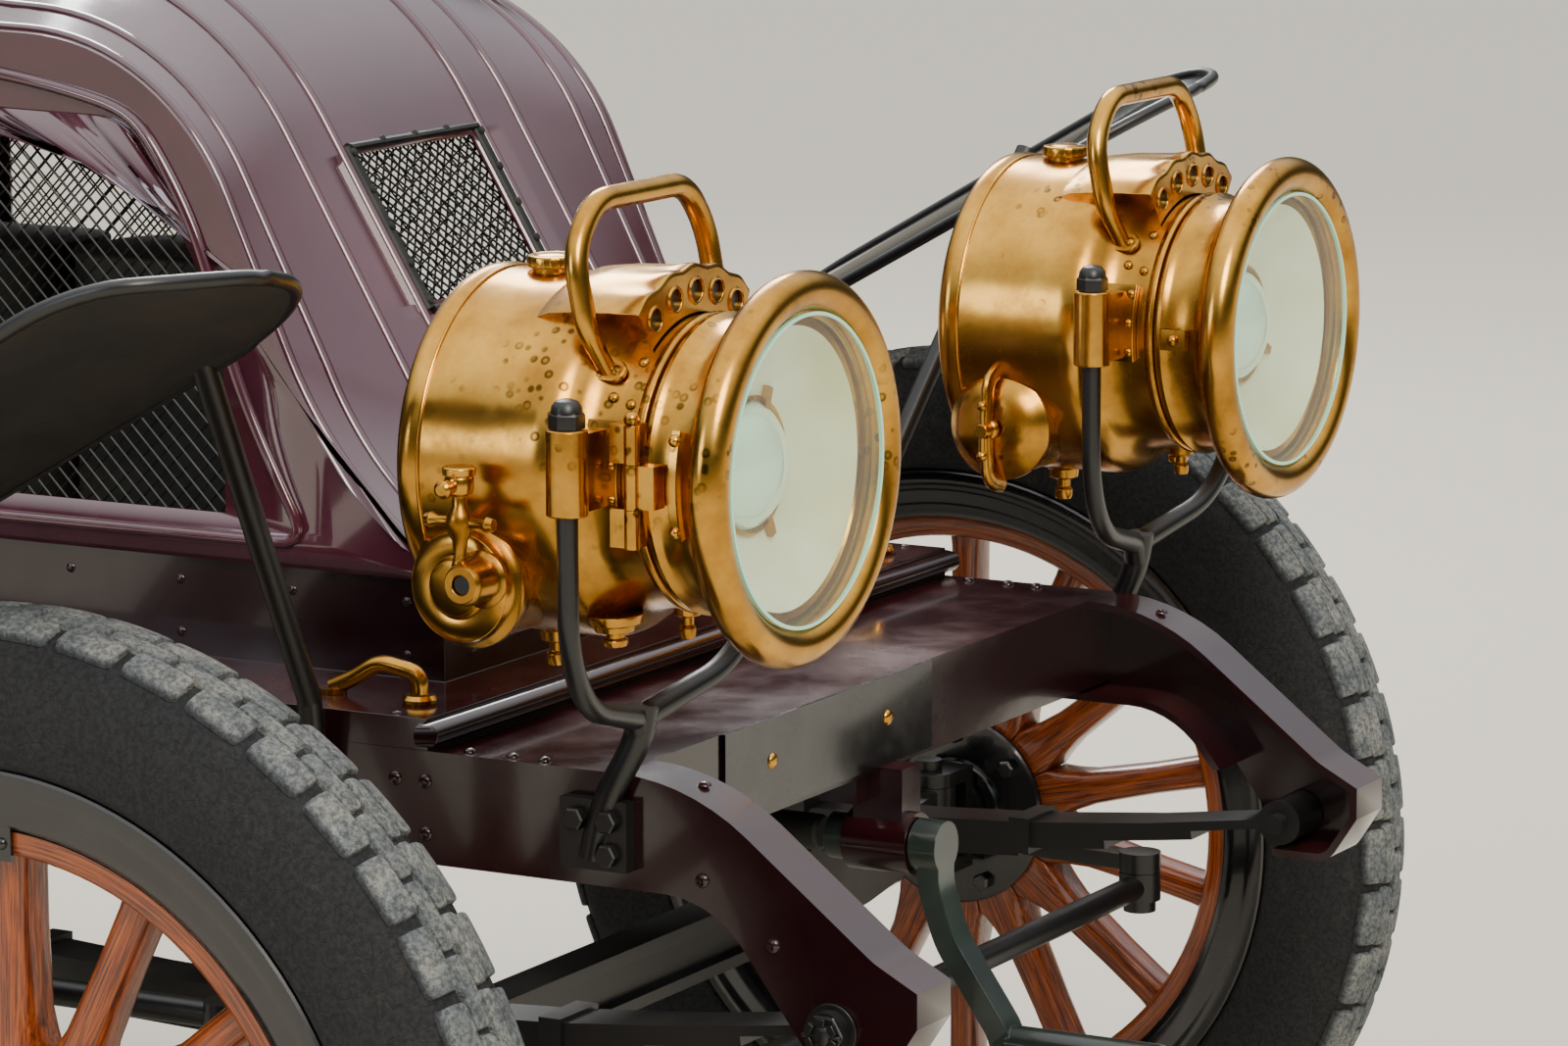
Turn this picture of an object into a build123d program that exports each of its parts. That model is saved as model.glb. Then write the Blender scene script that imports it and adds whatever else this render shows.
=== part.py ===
"""Brass era open car: four-seat tourer with a scuttle-shaped bonnet and two gas headlamps.

Millimetres. The car faces -Y, +Z is up, its own right side is at -X.
Everything is drawn about the front axle (y = 0) standing on the ground (z = 0);
the last lines move the whole car so that the middle of its box is the origin.
Outlines are lists of corners; a corner's third number is the radius that rounds it.
"""
import os
from math import asin, atan2, cos, degrees, hypot, radians, sin, tan

from build123d import *

os.makedirs("parts", exist_ok=True)

# Clearances
RUN = 0.05              # a turning pin in its hole, on the radius
FIT = 0.3               # curved faces that meet on one body
GAP = 0.5               # flat faces that turn against each other
DOOR_GAP = 3.0          # round a body door
LAP = 1.0               # how far a fused piece is let into its neighbour

# Wheels and track
WHEELBASE = 2800.0
TRACK = 1410.0
TYRE_R = 407.5
TYRE_W = 105.0
RIM_R = 304.0
RIM_W = 87.0
FELLOE_R = 261.0
SPOKES = 14
SPOKE_W = 28.0
HUB_R = 84.0
AXLE_R = 22.0           # bore of a hub
BRAKE_R = 150.0
AXLE_Z = TYRE_R

# Chassis
RAIL_X = 400.0          # outer face of a frame rail
RAIL_W = 50.0
RAIL_T = 6.0
RAIL_TOP = 672.0
RAIL_BOT = 590.0
RAIL_END = WHEELBASE + 460.0
NOSE_Y = -524.0
FRONT_CROSS = -287.0
CROSS_T = 6.0
CROSS_Y = (1060.0, WHEELBASE * 0.625, WHEELBASE - 340.0, RAIL_END - 46.0)
SPRING_X = 370.0
SPRING_W = 45.0
LEAF_T = 7.0
LEAVES = 5
EYE_Y = 458.0           # spring eye ahead of its axle
EYE_Z = 508.0
EYE_R = 18.0
REAR_EYE_Z = 532.0
SHACKLE_Y = 478.0
SHACKLE_Z = 570.0
FRONT_MID = 472.0       # middle of the main leaf over the axle
REAR_MID = 492.0
PIN_R = 8.0
KING_X = 625.0          # kingpin axis
KING_R = 12.0
BEAM_TOP = 440.0        # the axle's boss, top and bottom
BEAM_BOT = 374.0
ARM_L = 205.0           # steering arm, kingpin to tie rod
TIE_Z = 372.0
BALL_R = 9.0            # steering pins
DROP_L = 164.0          # drop arm and drag arm
LINK_Z = 476.0
DROP_Y = 940.0
CRANK_Z = 545.0
SHAFT_R = 12.0

# Body
TRAY_TOP = RAIL_TOP + 23.0
SILL_H = 75.0
SILL_X = 280.0
BONNET_BASE = TRAY_TOP + SILL_H
BONNET_X = 285.0
BONNET_MID = 130.0      # half width of the raised middle panel
BONNET_T = 4.0
BONNET_BACK = 780.0
HINGE_Y = BONNET_BACK + 8.0
HINGE_Z = BONNET_BASE + 510.0
HINGE_R = 6.0
RADIATOR_TOP = BONNET_BASE + 492.0
DASH_Y = 885.0
DASH_T = 30.0
FLOOR_T = 28.0
FLOOR_TOP = RAIL_TOP + FLOOR_T
FLOOR_X = 540.0
TUB_X = 580.0
SEAT_X = 560.0
WALL = 22.0
SEAT_Y0 = WHEELBASE / 2 + 30.0
TUB_Y0 = SEAT_Y0 + 430.0
DOOR_Y0 = TUB_Y0 + 40.0
DOOR_Y1 = WHEELBASE - 560.0
TUB_Y1 = WHEELBASE + 100.0
DOOR_SILL = 18.0
DOOR_HINGES = (830.0, 1080.0)
HINGE_X = TUB_X + 7.0
HANDLE_Z = 1100.0
WAIST = 1180.0
SEAT_BOARD = 980.0
SEAT_TOP = 1090.0
BACK_TOP = 1500.0
WING_IN = 600.0
WING_OUT = 820.0
WING_T = 4.0
BOARD_Z = 400.0
BOARD_Y0 = 704.0
BOARD_Y1 = WHEELBASE - 604.0

# Lamps and steering
LAMP_X = 400.0
LAMP_Z = 897.0
LAMP_BACK = -191.0
DRUM_R = 125.5
NECK_R = 101.0
NECK_Y = -366.0
SHEET = 3.0
GLASS_R = 108.0
BEZEL_R = 122.0
BEZEL_T = 14.0
LAMP_HINGE = 116.0
KNUCKLE = 15.0          # half length of a lamp door's hinge knuckle
FORK_X = 135.0
FORK_Y = -330.0
FORK_R = 8.0
STEER = (-300.0, 1330.0, 1320.0)
RAKE = 60.0             # steering column from level
STEER_R = 190.0
COLUMN_R = 19.0

PARTS = {}


# Lines of rounded corners
def heading(a, b):
    """The unit direction from corner a to corner b."""
    n = hypot(b[0] - a[0], b[1] - a[1])
    return (b[0] - a[0]) / n, (b[1] - a[1]) / n


def parallel(points, d, closed=False):
    """A line of rounded corners moved to its left by d, each radius kept concentric."""
    moved, n = [], len(points)
    for i, p in enumerate(points):
        u = heading(points[i - 1], p) if closed or i else heading(p, points[1])
        v = heading(p, points[(i + 1) % n]) if closed or i < n - 1 else u
        k = d / (1 + u[0] * v[0] + u[1] * v[1])
        left_turn = u[0] * v[1] - u[1] * v[0] > 0
        radius = [max(r - d if left_turn else r + d, 0) for r in p[2:]]
        moved.append((p[0] - k * (u[1] + v[1]), p[1] + k * (u[0] + v[0]), *radius))
    return moved


def strip(points, t):
    """The outline of a sheet t thick on the left of an open line."""
    return points + parallel(points, t)[::-1]


def edges_through(places, radii, closed):
    """Straight lines through places; a corner with a radius becomes an arc that touches both its lines."""
    n, spans, edges = len(places), [], []
    for i, (p, r) in enumerate(zip(places, radii)):
        if not r or (not closed and i in (0, n - 1)):
            spans.append((p, None, p))
            continue
        a, b = (places[i - 1] - p).normalized(), (places[(i + 1) % n] - p).normalized()
        half = radians(a.get_angle(b) / 2)
        middle = p + (a + b).normalized() * (r / sin(half) - r)
        spans.append((p + a * (r / tan(half)), middle, p + b * (r / tan(half))))
    for i, (start, middle, end) in enumerate(spans):
        if middle is not None:
            edges.append(ThreePointArc(start, middle, end))
        if closed or i < n - 1:
            edges.append(Line(end, spans[(i + 1) % n][0]))
    return edges


def outline(points):
    """A flat face from a closed line of rounded corners."""
    return make_face(edges_through([Vector(*p[:2]) for p in points], [sum(p[2:]) for p in points], True))


def raised(points, z):
    """A line of corners lifted by z."""
    return [(p[0], p[1] + z, *p[2:]) for p in points]


# Solids from outlines
def box(x0, x1, y0, y1, z0, z1):
    """A block from its six faces."""
    return Pos((x0 + x1) / 2, (y0 + y1) / 2, (z0 + z1) / 2) * Box(
        abs(x1 - x0), abs(y1 - y0), abs(z1 - z0))


def side(points, x0, x1):
    """A prism across the car from a (y, z) outline."""
    lo, hi = min(x0, x1), max(x0, x1)
    return extrude(Plane.YZ.offset(lo) * outline(points), hi - lo)


def front(points, y0, y1):
    """A prism along the car from an (x, z) outline."""
    plane = Plane(origin=(0, y1, 0), x_dir=(1, 0, 0), z_dir=(0, -1, 0))
    return extrude(plane * outline(points), y1 - y0)


def plan(points, z0, z1):
    """An upright prism from an (x, y) outline."""
    return extrude(Plane.XY.offset(z0) * outline(points), z1 - z0)


def lathe_x(points):
    """A turned piece about the X axis from (x, radius) corners."""
    plane = Plane(origin=(0, 0, 0), x_dir=(1, 0, 0), z_dir=(0, -1, 0))
    return revolve(plane * outline(points), Axis.X)


def lathe_y(points, turn=360):
    """A turned piece about the Y axis from (y, radius) corners."""
    return revolve(Plane.YZ * outline(points), Axis.Y, turn)


def rod(a, b, r):
    """A round bar between two points."""
    v = Vector(*b) - Vector(*a)
    return Plane(origin=a, z_dir=v) * Cylinder(r, v.length, align=(Align.CENTER, Align.CENTER, Align.MIN))


def bent(points, r, bend):
    """A round bar along a line of points, bent to a radius at each."""
    places = [Vector(*p) for p in points]
    path = Wire(edges_through(places, [bend] * len(places), False))
    return sweep(Plane(origin=points[0], z_dir=places[1] - places[0]) * Circle(r), path=path)


def other(shape):
    """The same piece on the other side of the car."""
    return mirror(shape, about=Plane.YZ)


def solids(*shapes):
    """Separate solids that make up one node."""
    return Compound([solid for shape in shapes for solid in shape.solids()])


def both(shape):
    return solids(shape, other(shape))


def ring(n, r, a0=0.0):
    """n places on a circle."""
    return [(r * cos(radians(a0 + 360.0 * i / n)), r * sin(radians(a0 + 360.0 * i / n))) for i in range(n)]


# Wheels: tyre, steel rim with hub, and the wooden felloe with its spokes
BEAD_Z = RIM_R - 28.0   # where the tyre sits in the rim
RIM_X = RIM_W / 2


def tyre():
    """The tyre with few faces round it; its outboard half is mirrored."""
    half = [(28, TYRE_R), (TYRE_W / 2, TYRE_R - 34), (32.5, BEAD_Z + FIT)]
    return lathe_x(half + [(-x, r) for x, r in reversed(half)])


def steel_rim():
    half = [(30, FELLOE_R), (36, FELLOE_R + 3), (41, FELLOE_R + 24), (RIM_X, FELLOE_R + 30), (RIM_X, RIM_R),
            (RIM_X - 4.5, RIM_R), (RIM_X - 6.5, RIM_R - 14), (RIM_X - 10.5, BEAD_Z)]
    return lathe_x(half + [(-x, r) for x, r in reversed(half)])


FLANGE_IN, FLANGE_OUT, BOLT_RING = 22.5, 30.0, 68.0


def hub(rear):
    """Two flanges with seven bolts clamp the spokes; the barrel runs out to a turned cap."""
    inner = -40.0 if rear else -36.0
    body = lathe_x([(inner, AXLE_R), (inner, 46), (-FLANGE_OUT, 46), (-FLANGE_OUT, HUB_R), (-FLANGE_IN, HUB_R),
                    (-FLANGE_IN, 36), (FLANGE_IN, 36), (FLANGE_IN, HUB_R), (FLANGE_OUT, HUB_R),
                    (FLANGE_OUT, 52, 6), (62, 44), (64, 50), (88, 47), (95, 40), (95, 0), (86, 0), (86, AXLE_R)])
    head = Pos(FLANGE_OUT - LAP, 0, 0) * Rot(0, 90, 0) * Cylinder(7, 10, align=(Align.CENTER, Align.CENTER, Align.MIN))
    body = body + [Pos(0, c, s) * head for c, s in ring(7, BOLT_RING, 90)]
    if rear:
        body = body + lathe_x([(-95, BRAKE_R), (-95, BRAKE_R - 8), (-40, BRAKE_R - 8), (-40, AXLE_R),
                               (-FLANGE_OUT, AXLE_R), (-FLANGE_OUT, BRAKE_R)])
    return body


def wood():
    """Fourteen tapered oval spokes between the hub's flanges and the felloe."""
    felloe = lathe_x([(-28, FELLOE_R - FIT), (32, FELLOE_R - FIT), (32, FELLOE_R - 18, 5),
                      (-28, FELLOE_R - 18, 5)])
    centre = lathe_x([(-FLANGE_IN, 36 + FIT), (FLANGE_IN, 36 + FIT), (FLANGE_IN, 92), (-FLANGE_IN, 92)])

    def section(long, wide, r):
        return outline([(-long, -wide, r), (long, -wide, r), (long, wide, r), (-long, wide, r)])

    spoke = loft([Plane.XY.offset(80) * section(20, SPOKE_W / 2, 9),
                  Plane.XY.offset(FELLOE_R - 12) * section(17, SPOKE_W / 2 - 1.5, 8)], ruled=True)
    return felloe + centre + [Rot(360.0 * i / SPOKES, 0, 0) * spoke for i in range(SPOKES)]


TYRE, WOOD, RIM = tyre(), wood(), steel_rim()
for tag, sign, y, rear in (("front_right", -1, 0, False), ("front_left", 1, 0, False),
                           ("rear_right", -1, WHEELBASE, True), ("rear_left", 1, WHEELBASE, True)):
    spot = Pos(sign * TRACK / 2, y, AXLE_Z)
    turn = other if sign < 0 else (lambda shape: shape)
    PARTS["tyre_" + tag] = spot * turn(TYRE)
    PARTS["wood_" + tag] = spot * turn(WOOD)
    PARTS["rim_" + tag] = spot * turn(solids(RIM, hub(rear)))

# Frame: two channel rails that run into the dumb irons, with their cross members
RAIL_SIDE = [(NOSE_Y, 517), (NOSE_Y, 542), (-490, 560, 60), (-345, RAIL_TOP, 170), (RAIL_END, RAIL_TOP),
             (RAIL_END, RAIL_BOT), (-364, RAIL_BOT, 80), (-446, 480, 16), (-500, 480, 20)]
MOUNT_Z = 632.0         # middle of the rail's web, where brackets bolt on


def pin_across(y, z, r=PIN_R, reach=60.0):
    """A pin or hole across a spring."""
    return rod((SPRING_X - reach, y, z), (SPRING_X + reach, y, z), r)


def hanger(y, z, forked):
    """A tapered bracket under the rail that carries a pin at (y, z), forked where it takes a spring's eye."""
    cheek = [(y - 26, RAIL_BOT + LAP), (y + 26, RAIL_BOT + LAP), (y + 14, z - 14, 9), (y - 14, z - 14, 9)]
    half = SPRING_W / 2
    block = side(cheek, SPRING_X - half - 7, SPRING_X + half + 7)
    if forked:
        block = block - box(SPRING_X - half - FIT, SPRING_X + half + FIT, y - 40, y + 40, z - 30, z + EYE_R + 1)
    return block - pin_across(y, z, PIN_R + RUN)


def angle_member(y):
    """A cross member of angle section between the rails."""
    profile = [(y, 606), (y, 660), (y + 40, 660), (y + 40, 660 - CROSS_T), (y + CROSS_T, 660 - CROSS_T, 4),
               (y + CROSS_T, 606)]
    return side(profile, -(RAIL_X - RAIL_T), RAIL_X - RAIL_T)


def frame():
    rail = side(RAIL_SIDE, RAIL_X - RAIL_W, RAIL_X)
    rail = rail - side(parallel(RAIL_SIDE, -RAIL_T, closed=True), RAIL_X - RAIL_W - LAP, RAIL_X - RAIL_T)
    rail = rail - box(SPRING_X - 30, RAIL_X - RAIL_T, 6 - EYE_Y, 88 - EYE_Y, 470, 545)
    rail = rail - rod((RAIL_X - 100, -EYE_Y, EYE_Z), (RAIL_X + 100, -EYE_Y, EYE_Z), PIN_R + RUN)
    for y in (SHACKLE_Y, WHEELBASE + SHACKLE_Y):
        rail = rail + hanger(y, SHACKLE_Z, False)
    rail = rail + hanger(WHEELBASE - EYE_Y, REAR_EYE_Z, True)
    rail = rail - rod((RAIL_X - 40, DROP_Y, PIVOT_Z), (RAIL_X + 20, DROP_Y, PIVOT_Z), SHAFT_R + RUN)
    channel = [(FRONT_CROSS, 600), (FRONT_CROSS, RAIL_TOP), (-100, RAIL_TOP), (-100, RAIL_TOP - CROSS_T),
               (FRONT_CROSS + CROSS_T, RAIL_TOP - CROSS_T, 4), (FRONT_CROSS + CROSS_T, 606, 4), (-235, 606), (-235, 600)]
    body = rail + other(rail) + side(channel, -(RAIL_X - RAIL_T), RAIL_X - RAIL_T)
    for y in CROSS_Y:
        body = body + angle_member(y)
    bearing = box(-34, 34, -281, -250, 578, 606) + box(-15, 15, -310, -268, CRANK_Z, 604)
    bearing = bearing + rod((0, -316, CRANK_Z), (0, -262, CRANK_Z), 24)
    body = body + bearing - rod((0, -340, CRANK_Z), (0, -240, CRANK_Z), SHAFT_R + RUN)
    for x in PLATE_SCREWS:
        body = body - rod((x, -300, PLATE_MID), (x, -270, PLATE_MID), SCREW_R)
    for x in (-250, 250):
        body = body - rod((x, RAIL_END - 60, 630), (x, RAIL_END + 5, 630), 5.5)
    return body


PIVOT_Z = LINK_Z + DROP_L
PLATE_SCREWS, PLATE_MID, SCREW_R = (-180, 0), 640.0, 3.2
PARTS["frame"] = frame()


# Leaf springs: leaves on one centre, with their clamp, clips and shackle
def leaf(radius, reach, centre_z):
    """One leaf between two arcs about a centre over the axle, let a little into the leaf below."""
    upper, lower = [[Vector(r * sin(a), centre_z - r * cos(a)) for a in (-reach, 0, reach)]
                    for r in (radius - LEAF_T / 2, radius + LEAF_T / 2 + LAP / 5)]
    face = make_face([ThreePointArc(*upper), Line(upper[2], lower[2]), ThreePointArc(*lower),
                      Line(lower[0], upper[0])])
    return extrude(Plane.YZ.offset(SPRING_X - SPRING_W / 2) * face, SPRING_W)


def spring(yc, z_eye, z_mid):
    sag, half = z_eye - z_mid, SPRING_W / 2
    radius = (EYE_Y ** 2 + sag ** 2) / (2 * sag)
    pack = leaf(radius, asin(EYE_Y / radius), z_mid + radius)
    for i in range(1, LEAVES):
        pack = pack + leaf(radius + i * LEAF_T, asin(EYE_Y / radius) * (1 - 0.17 * i), z_mid + radius)
    pack = pack + [pin_across(y, z_eye, EYE_R, half) for y in (-EYE_Y, EYE_Y)]
    low_z, top_z = z_mid - LEAF_T * (LEAVES - 0.5), z_mid + LEAF_T / 2
    pack = pack + box(SPRING_X - 34, SPRING_X + 34, -34, 34, top_z - LAP, top_z + 9)
    pack = pack + [rod((SPRING_X + sx * 28.5, sy * 23, low_z - 0.2), (SPRING_X + sx * 28.5, sy * 23, top_z + 17), 5.5)
                   for sx in (-1, 1) for sy in (-1, 1)]
    for y in (-EYE_Y / 2, EYE_Y / 2):
        z = z_mid + sag / 4
        pack = pack + box(SPRING_X - half - 4, SPRING_X + half + 4, y - 9, y + 9, z - LEAF_T * 3.1, z + LEAF_T / 2 + 4)
    tilt = degrees(atan2(SHACKLE_Y - EYE_Y, SHACKLE_Z - z_eye))
    length = hypot(SHACKLE_Y - EYE_Y, SHACKLE_Z - z_eye)
    link = outline([(-13, -13, 12.9), (13, -13, 12.9), (13, length + 13, 12.9), (-13, length + 13, 12.9)])
    for x0 in (SPRING_X + half + 7, SPRING_X - half - 13):
        plate = extrude(Plane.YZ.offset(x0) * link, 6)
        pack = pack + Pos(0, EYE_Y, z_eye) * Rot(-tilt, 0, 0) * plate
    for y, z in ((EYE_Y, z_eye), (SHACKLE_Y, SHACKLE_Z)):
        pack = pack + pin_across(y, z, PIN_R, half + 19)
    return Pos(0, yc, 0) * pack


front_spring = spring(0, EYE_Z, FRONT_MID)
front_spring = front_spring + rod((SPRING_X - 34, -EYE_Y, EYE_Z), (RAIL_X + 16, -EYE_Y, EYE_Z), PIN_R)
front_spring = front_spring + rod((RAIL_X, -EYE_Y, EYE_Z), (RAIL_X + 12, -EYE_Y, EYE_Z), 2 * PIN_R)
PARTS["front_springs"] = both(front_spring)
rear_spring = spring(WHEELBASE, REAR_EYE_Z, REAR_MID) + pin_across(WHEELBASE - EYE_Y, REAR_EYE_Z, PIN_R, 38)
PARTS["rear_springs"] = both(rear_spring)


# Front axle: a forged I-section drop beam with a boss for each kingpin
def front_axle():
    pad_top = FRONT_MID - LEAF_T * (LEAVES - 0.5) - 0.2
    half = [(395, 360, 200), (480, 366, 300), (560, 378, 120), (606, 378), (606, 437), (560, 432, 120),
            (430, 412, 300)]
    beam = front([(-x, z, *r) for x, z, *r in half[::-1]] + half, -19, 19)
    for y0, y1 in ((-19, -9), (9, 19)):
        beam = beam - front([(-320, 370, 8), (320, 370, 8), (320, 400, 8), (-320, 400, 8)], y0, y1)
    for s in (-1, 1):
        beam = beam + box(s * (SPRING_X - 34), s * (SPRING_X + 34), -36, 36, 402, pad_top)
        beam = beam + rod((s * KING_X, 0, BEAM_BOT + GAP), (s * KING_X, 0, BEAM_TOP - GAP), 2 * KING_R)
        beam = beam - rod((s * KING_X, 0, 360), (s * KING_X, 0, 450), KING_R + RUN)
    return beam


PARTS["front_axle"] = front_axle()


# Knuckles: a fork about the axle's boss, the stub axle and the steering arm in front
def knuckle(drag):
    """The left knuckle; the one that takes the drag link has an arm above the fork as well."""
    jaw = [(664, 24, 6), (603, 24, 20), (603, -24, 20), (664, -24, 6)]
    body = plan(jaw, BEAM_TOP, BEAM_TOP + 12) + plan(jaw, BEAM_BOT - 12, BEAM_BOT)
    body = body + box(652, 664, -24, 24, BEAM_BOT - 12, BEAM_TOP + 12)
    body = body + rod((KING_X, 0, 356), (KING_X, 0, 472 if drag else 462), KING_R)
    body = body + rod((652, 0, AXLE_Z), (TRACK / 2 + 80, 0, AXLE_Z), AXLE_R - RUN)
    body = body + rod((660, 0, AXLE_Z), (TRACK / 2 - 38, 0, AXLE_Z), 34)
    arm = plan([(652, -8), (664, -8), (664, -24, 40), (640, -100, 200), (KING_X + 13, -ARM_L), (KING_X - 13, -ARM_L),
                (622, -95, 200), (645, -34, 20), (652, -30)], 387, 400)
    body = body + arm + rod((KING_X, -ARM_L, 385), (KING_X, -ARM_L, 402), 2 * BALL_R)
    body = body + rod((KING_X, -ARM_L, 350), (KING_X, -ARM_L, 388), BALL_R)
    body = body + rod((KING_X, -ARM_L, 350), (KING_X, -ARM_L, 360 - GAP), BALL_R + 5)
    if drag:
        body = body + plan([(KING_X + 4, -22), (KING_X + 4, 22), (KING_X - DROP_L, 14), (KING_X - DROP_L, -14)],
                           450, 463)
        body = body + rod((KING_X - DROP_L, 0, 450), (KING_X - DROP_L, 0, LINK_Z - 12), 2 * BALL_R)
    return body


PARTS["knuckle_right"] = other(knuckle(True))
PARTS["knuckle_left"] = knuckle(False)

tie = rod((-KING_X + 10, -ARM_L, TIE_Z), (KING_X - 10, -ARM_L, TIE_Z), 11)
tie = tie + [rod((s * KING_X, -ARM_L, 360), (s * KING_X, -ARM_L, 385 - GAP), 2 * BALL_R) for s in (-1, 1)]
tie = tie - [rod((s * KING_X, -ARM_L, 340), (s * KING_X, -ARM_L, 400), BALL_R + RUN) for s in (-1, 1)]
PARTS["tie_rod"] = tie

# Drop arm outside the right rail, and the drag link to the right knuckle
drop = rod((-RAIL_X + 14, DROP_Y, PIVOT_Z), (-RAIL_X - 34, DROP_Y, PIVOT_Z), SHAFT_R)
drop = drop + rod((-RAIL_X - GAP, DROP_Y, PIVOT_Z), (-RAIL_X - 28, DROP_Y, PIVOT_Z), 22)
drop = drop + side([(DROP_Y - 16, PIVOT_Z), (DROP_Y + 16, PIVOT_Z), (DROP_Y + 12, LINK_Z), (DROP_Y - 12, LINK_Z)],
                   -RAIL_X - 28, -RAIL_X - 16)
drop = drop + rod((-RAIL_X - 16, DROP_Y, LINK_Z), (-RAIL_X - 44, DROP_Y, LINK_Z), 16)
drop = drop + rod((-RAIL_X - 44, DROP_Y, LINK_Z), (-RAIL_X - 82, DROP_Y, LINK_Z), BALL_R)
drop = drop + rod((-RAIL_X - 76, DROP_Y, LINK_Z), (-RAIL_X - 82, DROP_Y, LINK_Z), BALL_R + 5)
PARTS["drop_arm"] = drop
LINK_X = -(KING_X - DROP_L)
link = rod((LINK_X, 8, LINK_Z), (LINK_X, DROP_Y - 8, LINK_Z), 10)
link = link + rod((LINK_X, 0, LINK_Z - 10), (LINK_X, 0, LINK_Z + 12), 2 * BALL_R)
link = link + rod((LINK_X + 17 - GAP, DROP_Y, LINK_Z), (LINK_X - 15 + GAP, DROP_Y, LINK_Z), 2 * BALL_R)
link = link - rod((LINK_X + 40, DROP_Y, LINK_Z), (LINK_X - 40, DROP_Y, LINK_Z), BALL_R + RUN)
PARTS["drag_link"] = link


# Rear axle: tapered tubes, the bevel casing, and a stub in each rear hub
def rear_axle():
    half = TRACK / 2
    right = [(60, 148, 40), (105, 120, 30), (150, 46, 30), (half - 110, 34), (half - 90, 44), (half - 42, 44),
             (half - 42, AXLE_R - RUN), (half + 80, AXLE_R - RUN), (half + 80, 0)]
    tube = lathe_x([(-x, r, *rest) for x, r, *rest in right[::-1]] + right)
    body = Pos(0, WHEELBASE, AXLE_Z) * tube
    low = REAR_MID - LEAF_T * (LEAVES - 0.5) - 0.2
    for s in (-1, 1):
        body = body + box(s * (SPRING_X - 34), s * (SPRING_X + 34), WHEELBASE - 36, WHEELBASE + 36, AXLE_Z, low)
        body = body + Pos(s * (half - 92), WHEELBASE, AXLE_Z) * Rot(0, 90, 0) * Cylinder(BRAKE_R - 14, 5)
    return body + rod((0, WHEELBASE - 120, AXLE_Z), (0, WHEELBASE - 190, AXLE_Z), 62)


PARTS["rear_axle"] = rear_axle()


# Engine: crankcase, two pairs of cylinders and the flywheel, with the gearbox and the propeller shaft behind
def mounts_across(y, z1):
    """A bar that rests on the lower flanges of both rails."""
    return box(-(RAIL_X - RAIL_T - 3), RAIL_X - RAIL_T - 3, y, y + 36, RAIL_BOT + RAIL_T, z1)


engine = front([(-120, 690, 12), (-120, 560, 40), (-70, 480, 30), (70, 480, 30), (120, 560, 40), (120, 690, 12)], 150, 700)
for y0 in (175, 440):
    engine = engine + plan([(-70, y0, 50), (70, y0, 50), (70, y0 + 250, 50), (-70, y0 + 250, 50)], 690 - LAP, 960)
engine = engine + mounts_across(190, 625) + mounts_across(640, 625)
engine = engine + rod((0, -235, CRANK_Z), (0, 160, CRANK_Z), 14) + rod((0, 700, CRANK_Z), (0, 760, CRANK_Z), 190)
PARTS["engine"] = engine
gearbox = front([(-110, 645, 20), (-110, 470, 50), (110, 470, 50), (110, 645, 20)], 1100, 1560)
gearbox = gearbox + rod((0, 760, CRANK_Z), (0, 1110, CRANK_Z), 30) + mounts_across(1180, 622)
gearbox = gearbox + rod((0, 1550, CRANK_Z), (0, WHEELBASE - 194, AXLE_Z + 0.5), 28)
PARTS["gearbox"] = gearbox

# Tray on the frame and the sill that the bonnet rests on
TRAY_Y0, SILL_Y0, SILL_T = -132.0, -72.0, 20.0
deck = box(-RAIL_X, RAIL_X, TRAY_Y0, DASH_Y, RAIL_TOP, TRAY_TOP)
deck = deck - box(-230, 230, -40, DASH_Y + 1, RAIL_TOP - 1, TRAY_TOP + 1)
sill = box(-SILL_X, SILL_X, SILL_Y0, HINGE_Y, TRAY_TOP, BONNET_BASE)
sill = sill - box(-SILL_X + SILL_T, SILL_X - SILL_T, SILL_Y0 + SILL_T, HINGE_Y + 1, TRAY_TOP - 1, BONNET_BASE + 1)
PARTS["bonnet_sill"] = deck + sill

# Bonnet: side profiles of the middle panel and of the side-top edge, joined by straight rulings.
# Heights in these lists are above BONNET_BASE.
MID_LINE = [(-92, 0), (-10, 62, 150), (212, 424, 280), (BONNET_BACK, 500)]
EDGE_LINE = [(-80, 0), (29, 76, 350), (162, 382, 195), (BONNET_BACK, 395)]
WINDOW = [(115, 36, 14), (115, 178, 40), (197, 326, 45), (BONNET_BACK - 60, 336, 14), (BONNET_BACK - 60, 36, 14)]
SLOPE_Y0, SLOPE_Y1, SLOPE_X = 59.0, 126.0, 85.0


def bonnet_block(d):
    """The bonnet as a solid d inside its skin; the inner one runs on through the base and the back."""
    faces = []
    for x, line in ((BONNET_MID, MID_LINE), (BONNET_X - d, EDGE_LINE)):
        top = raised(parallel(line, -d), BONNET_BASE)
        if d:
            base, back = BONNET_BASE - 40, BONNET_BACK + 40
            top = [(top[0][0], base), *top, (back, top[-1][1]), (back, base)]
        else:
            top = top + [(BONNET_BACK, BONNET_BASE)]
        faces.append(Plane.YZ.offset(x) * outline(top))
    shoulder = loft(faces, ruled=True)
    middle = extrude(Pos(-2 * BONNET_MID, 0, 0) * faces[0], 2 * BONNET_MID)
    return middle + shoulder + other(shoulder)


def on_slope(y, depth):
    """A place on the sloping middle panel, depth inside its face."""
    u = heading(MID_LINE[1], MID_LINE[2])
    z = MID_LINE[1][1] + (y - MID_LINE[1][0]) * u[1] / u[0]
    return y + depth * u[1], BONNET_BASE + z - depth * u[0]


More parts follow.
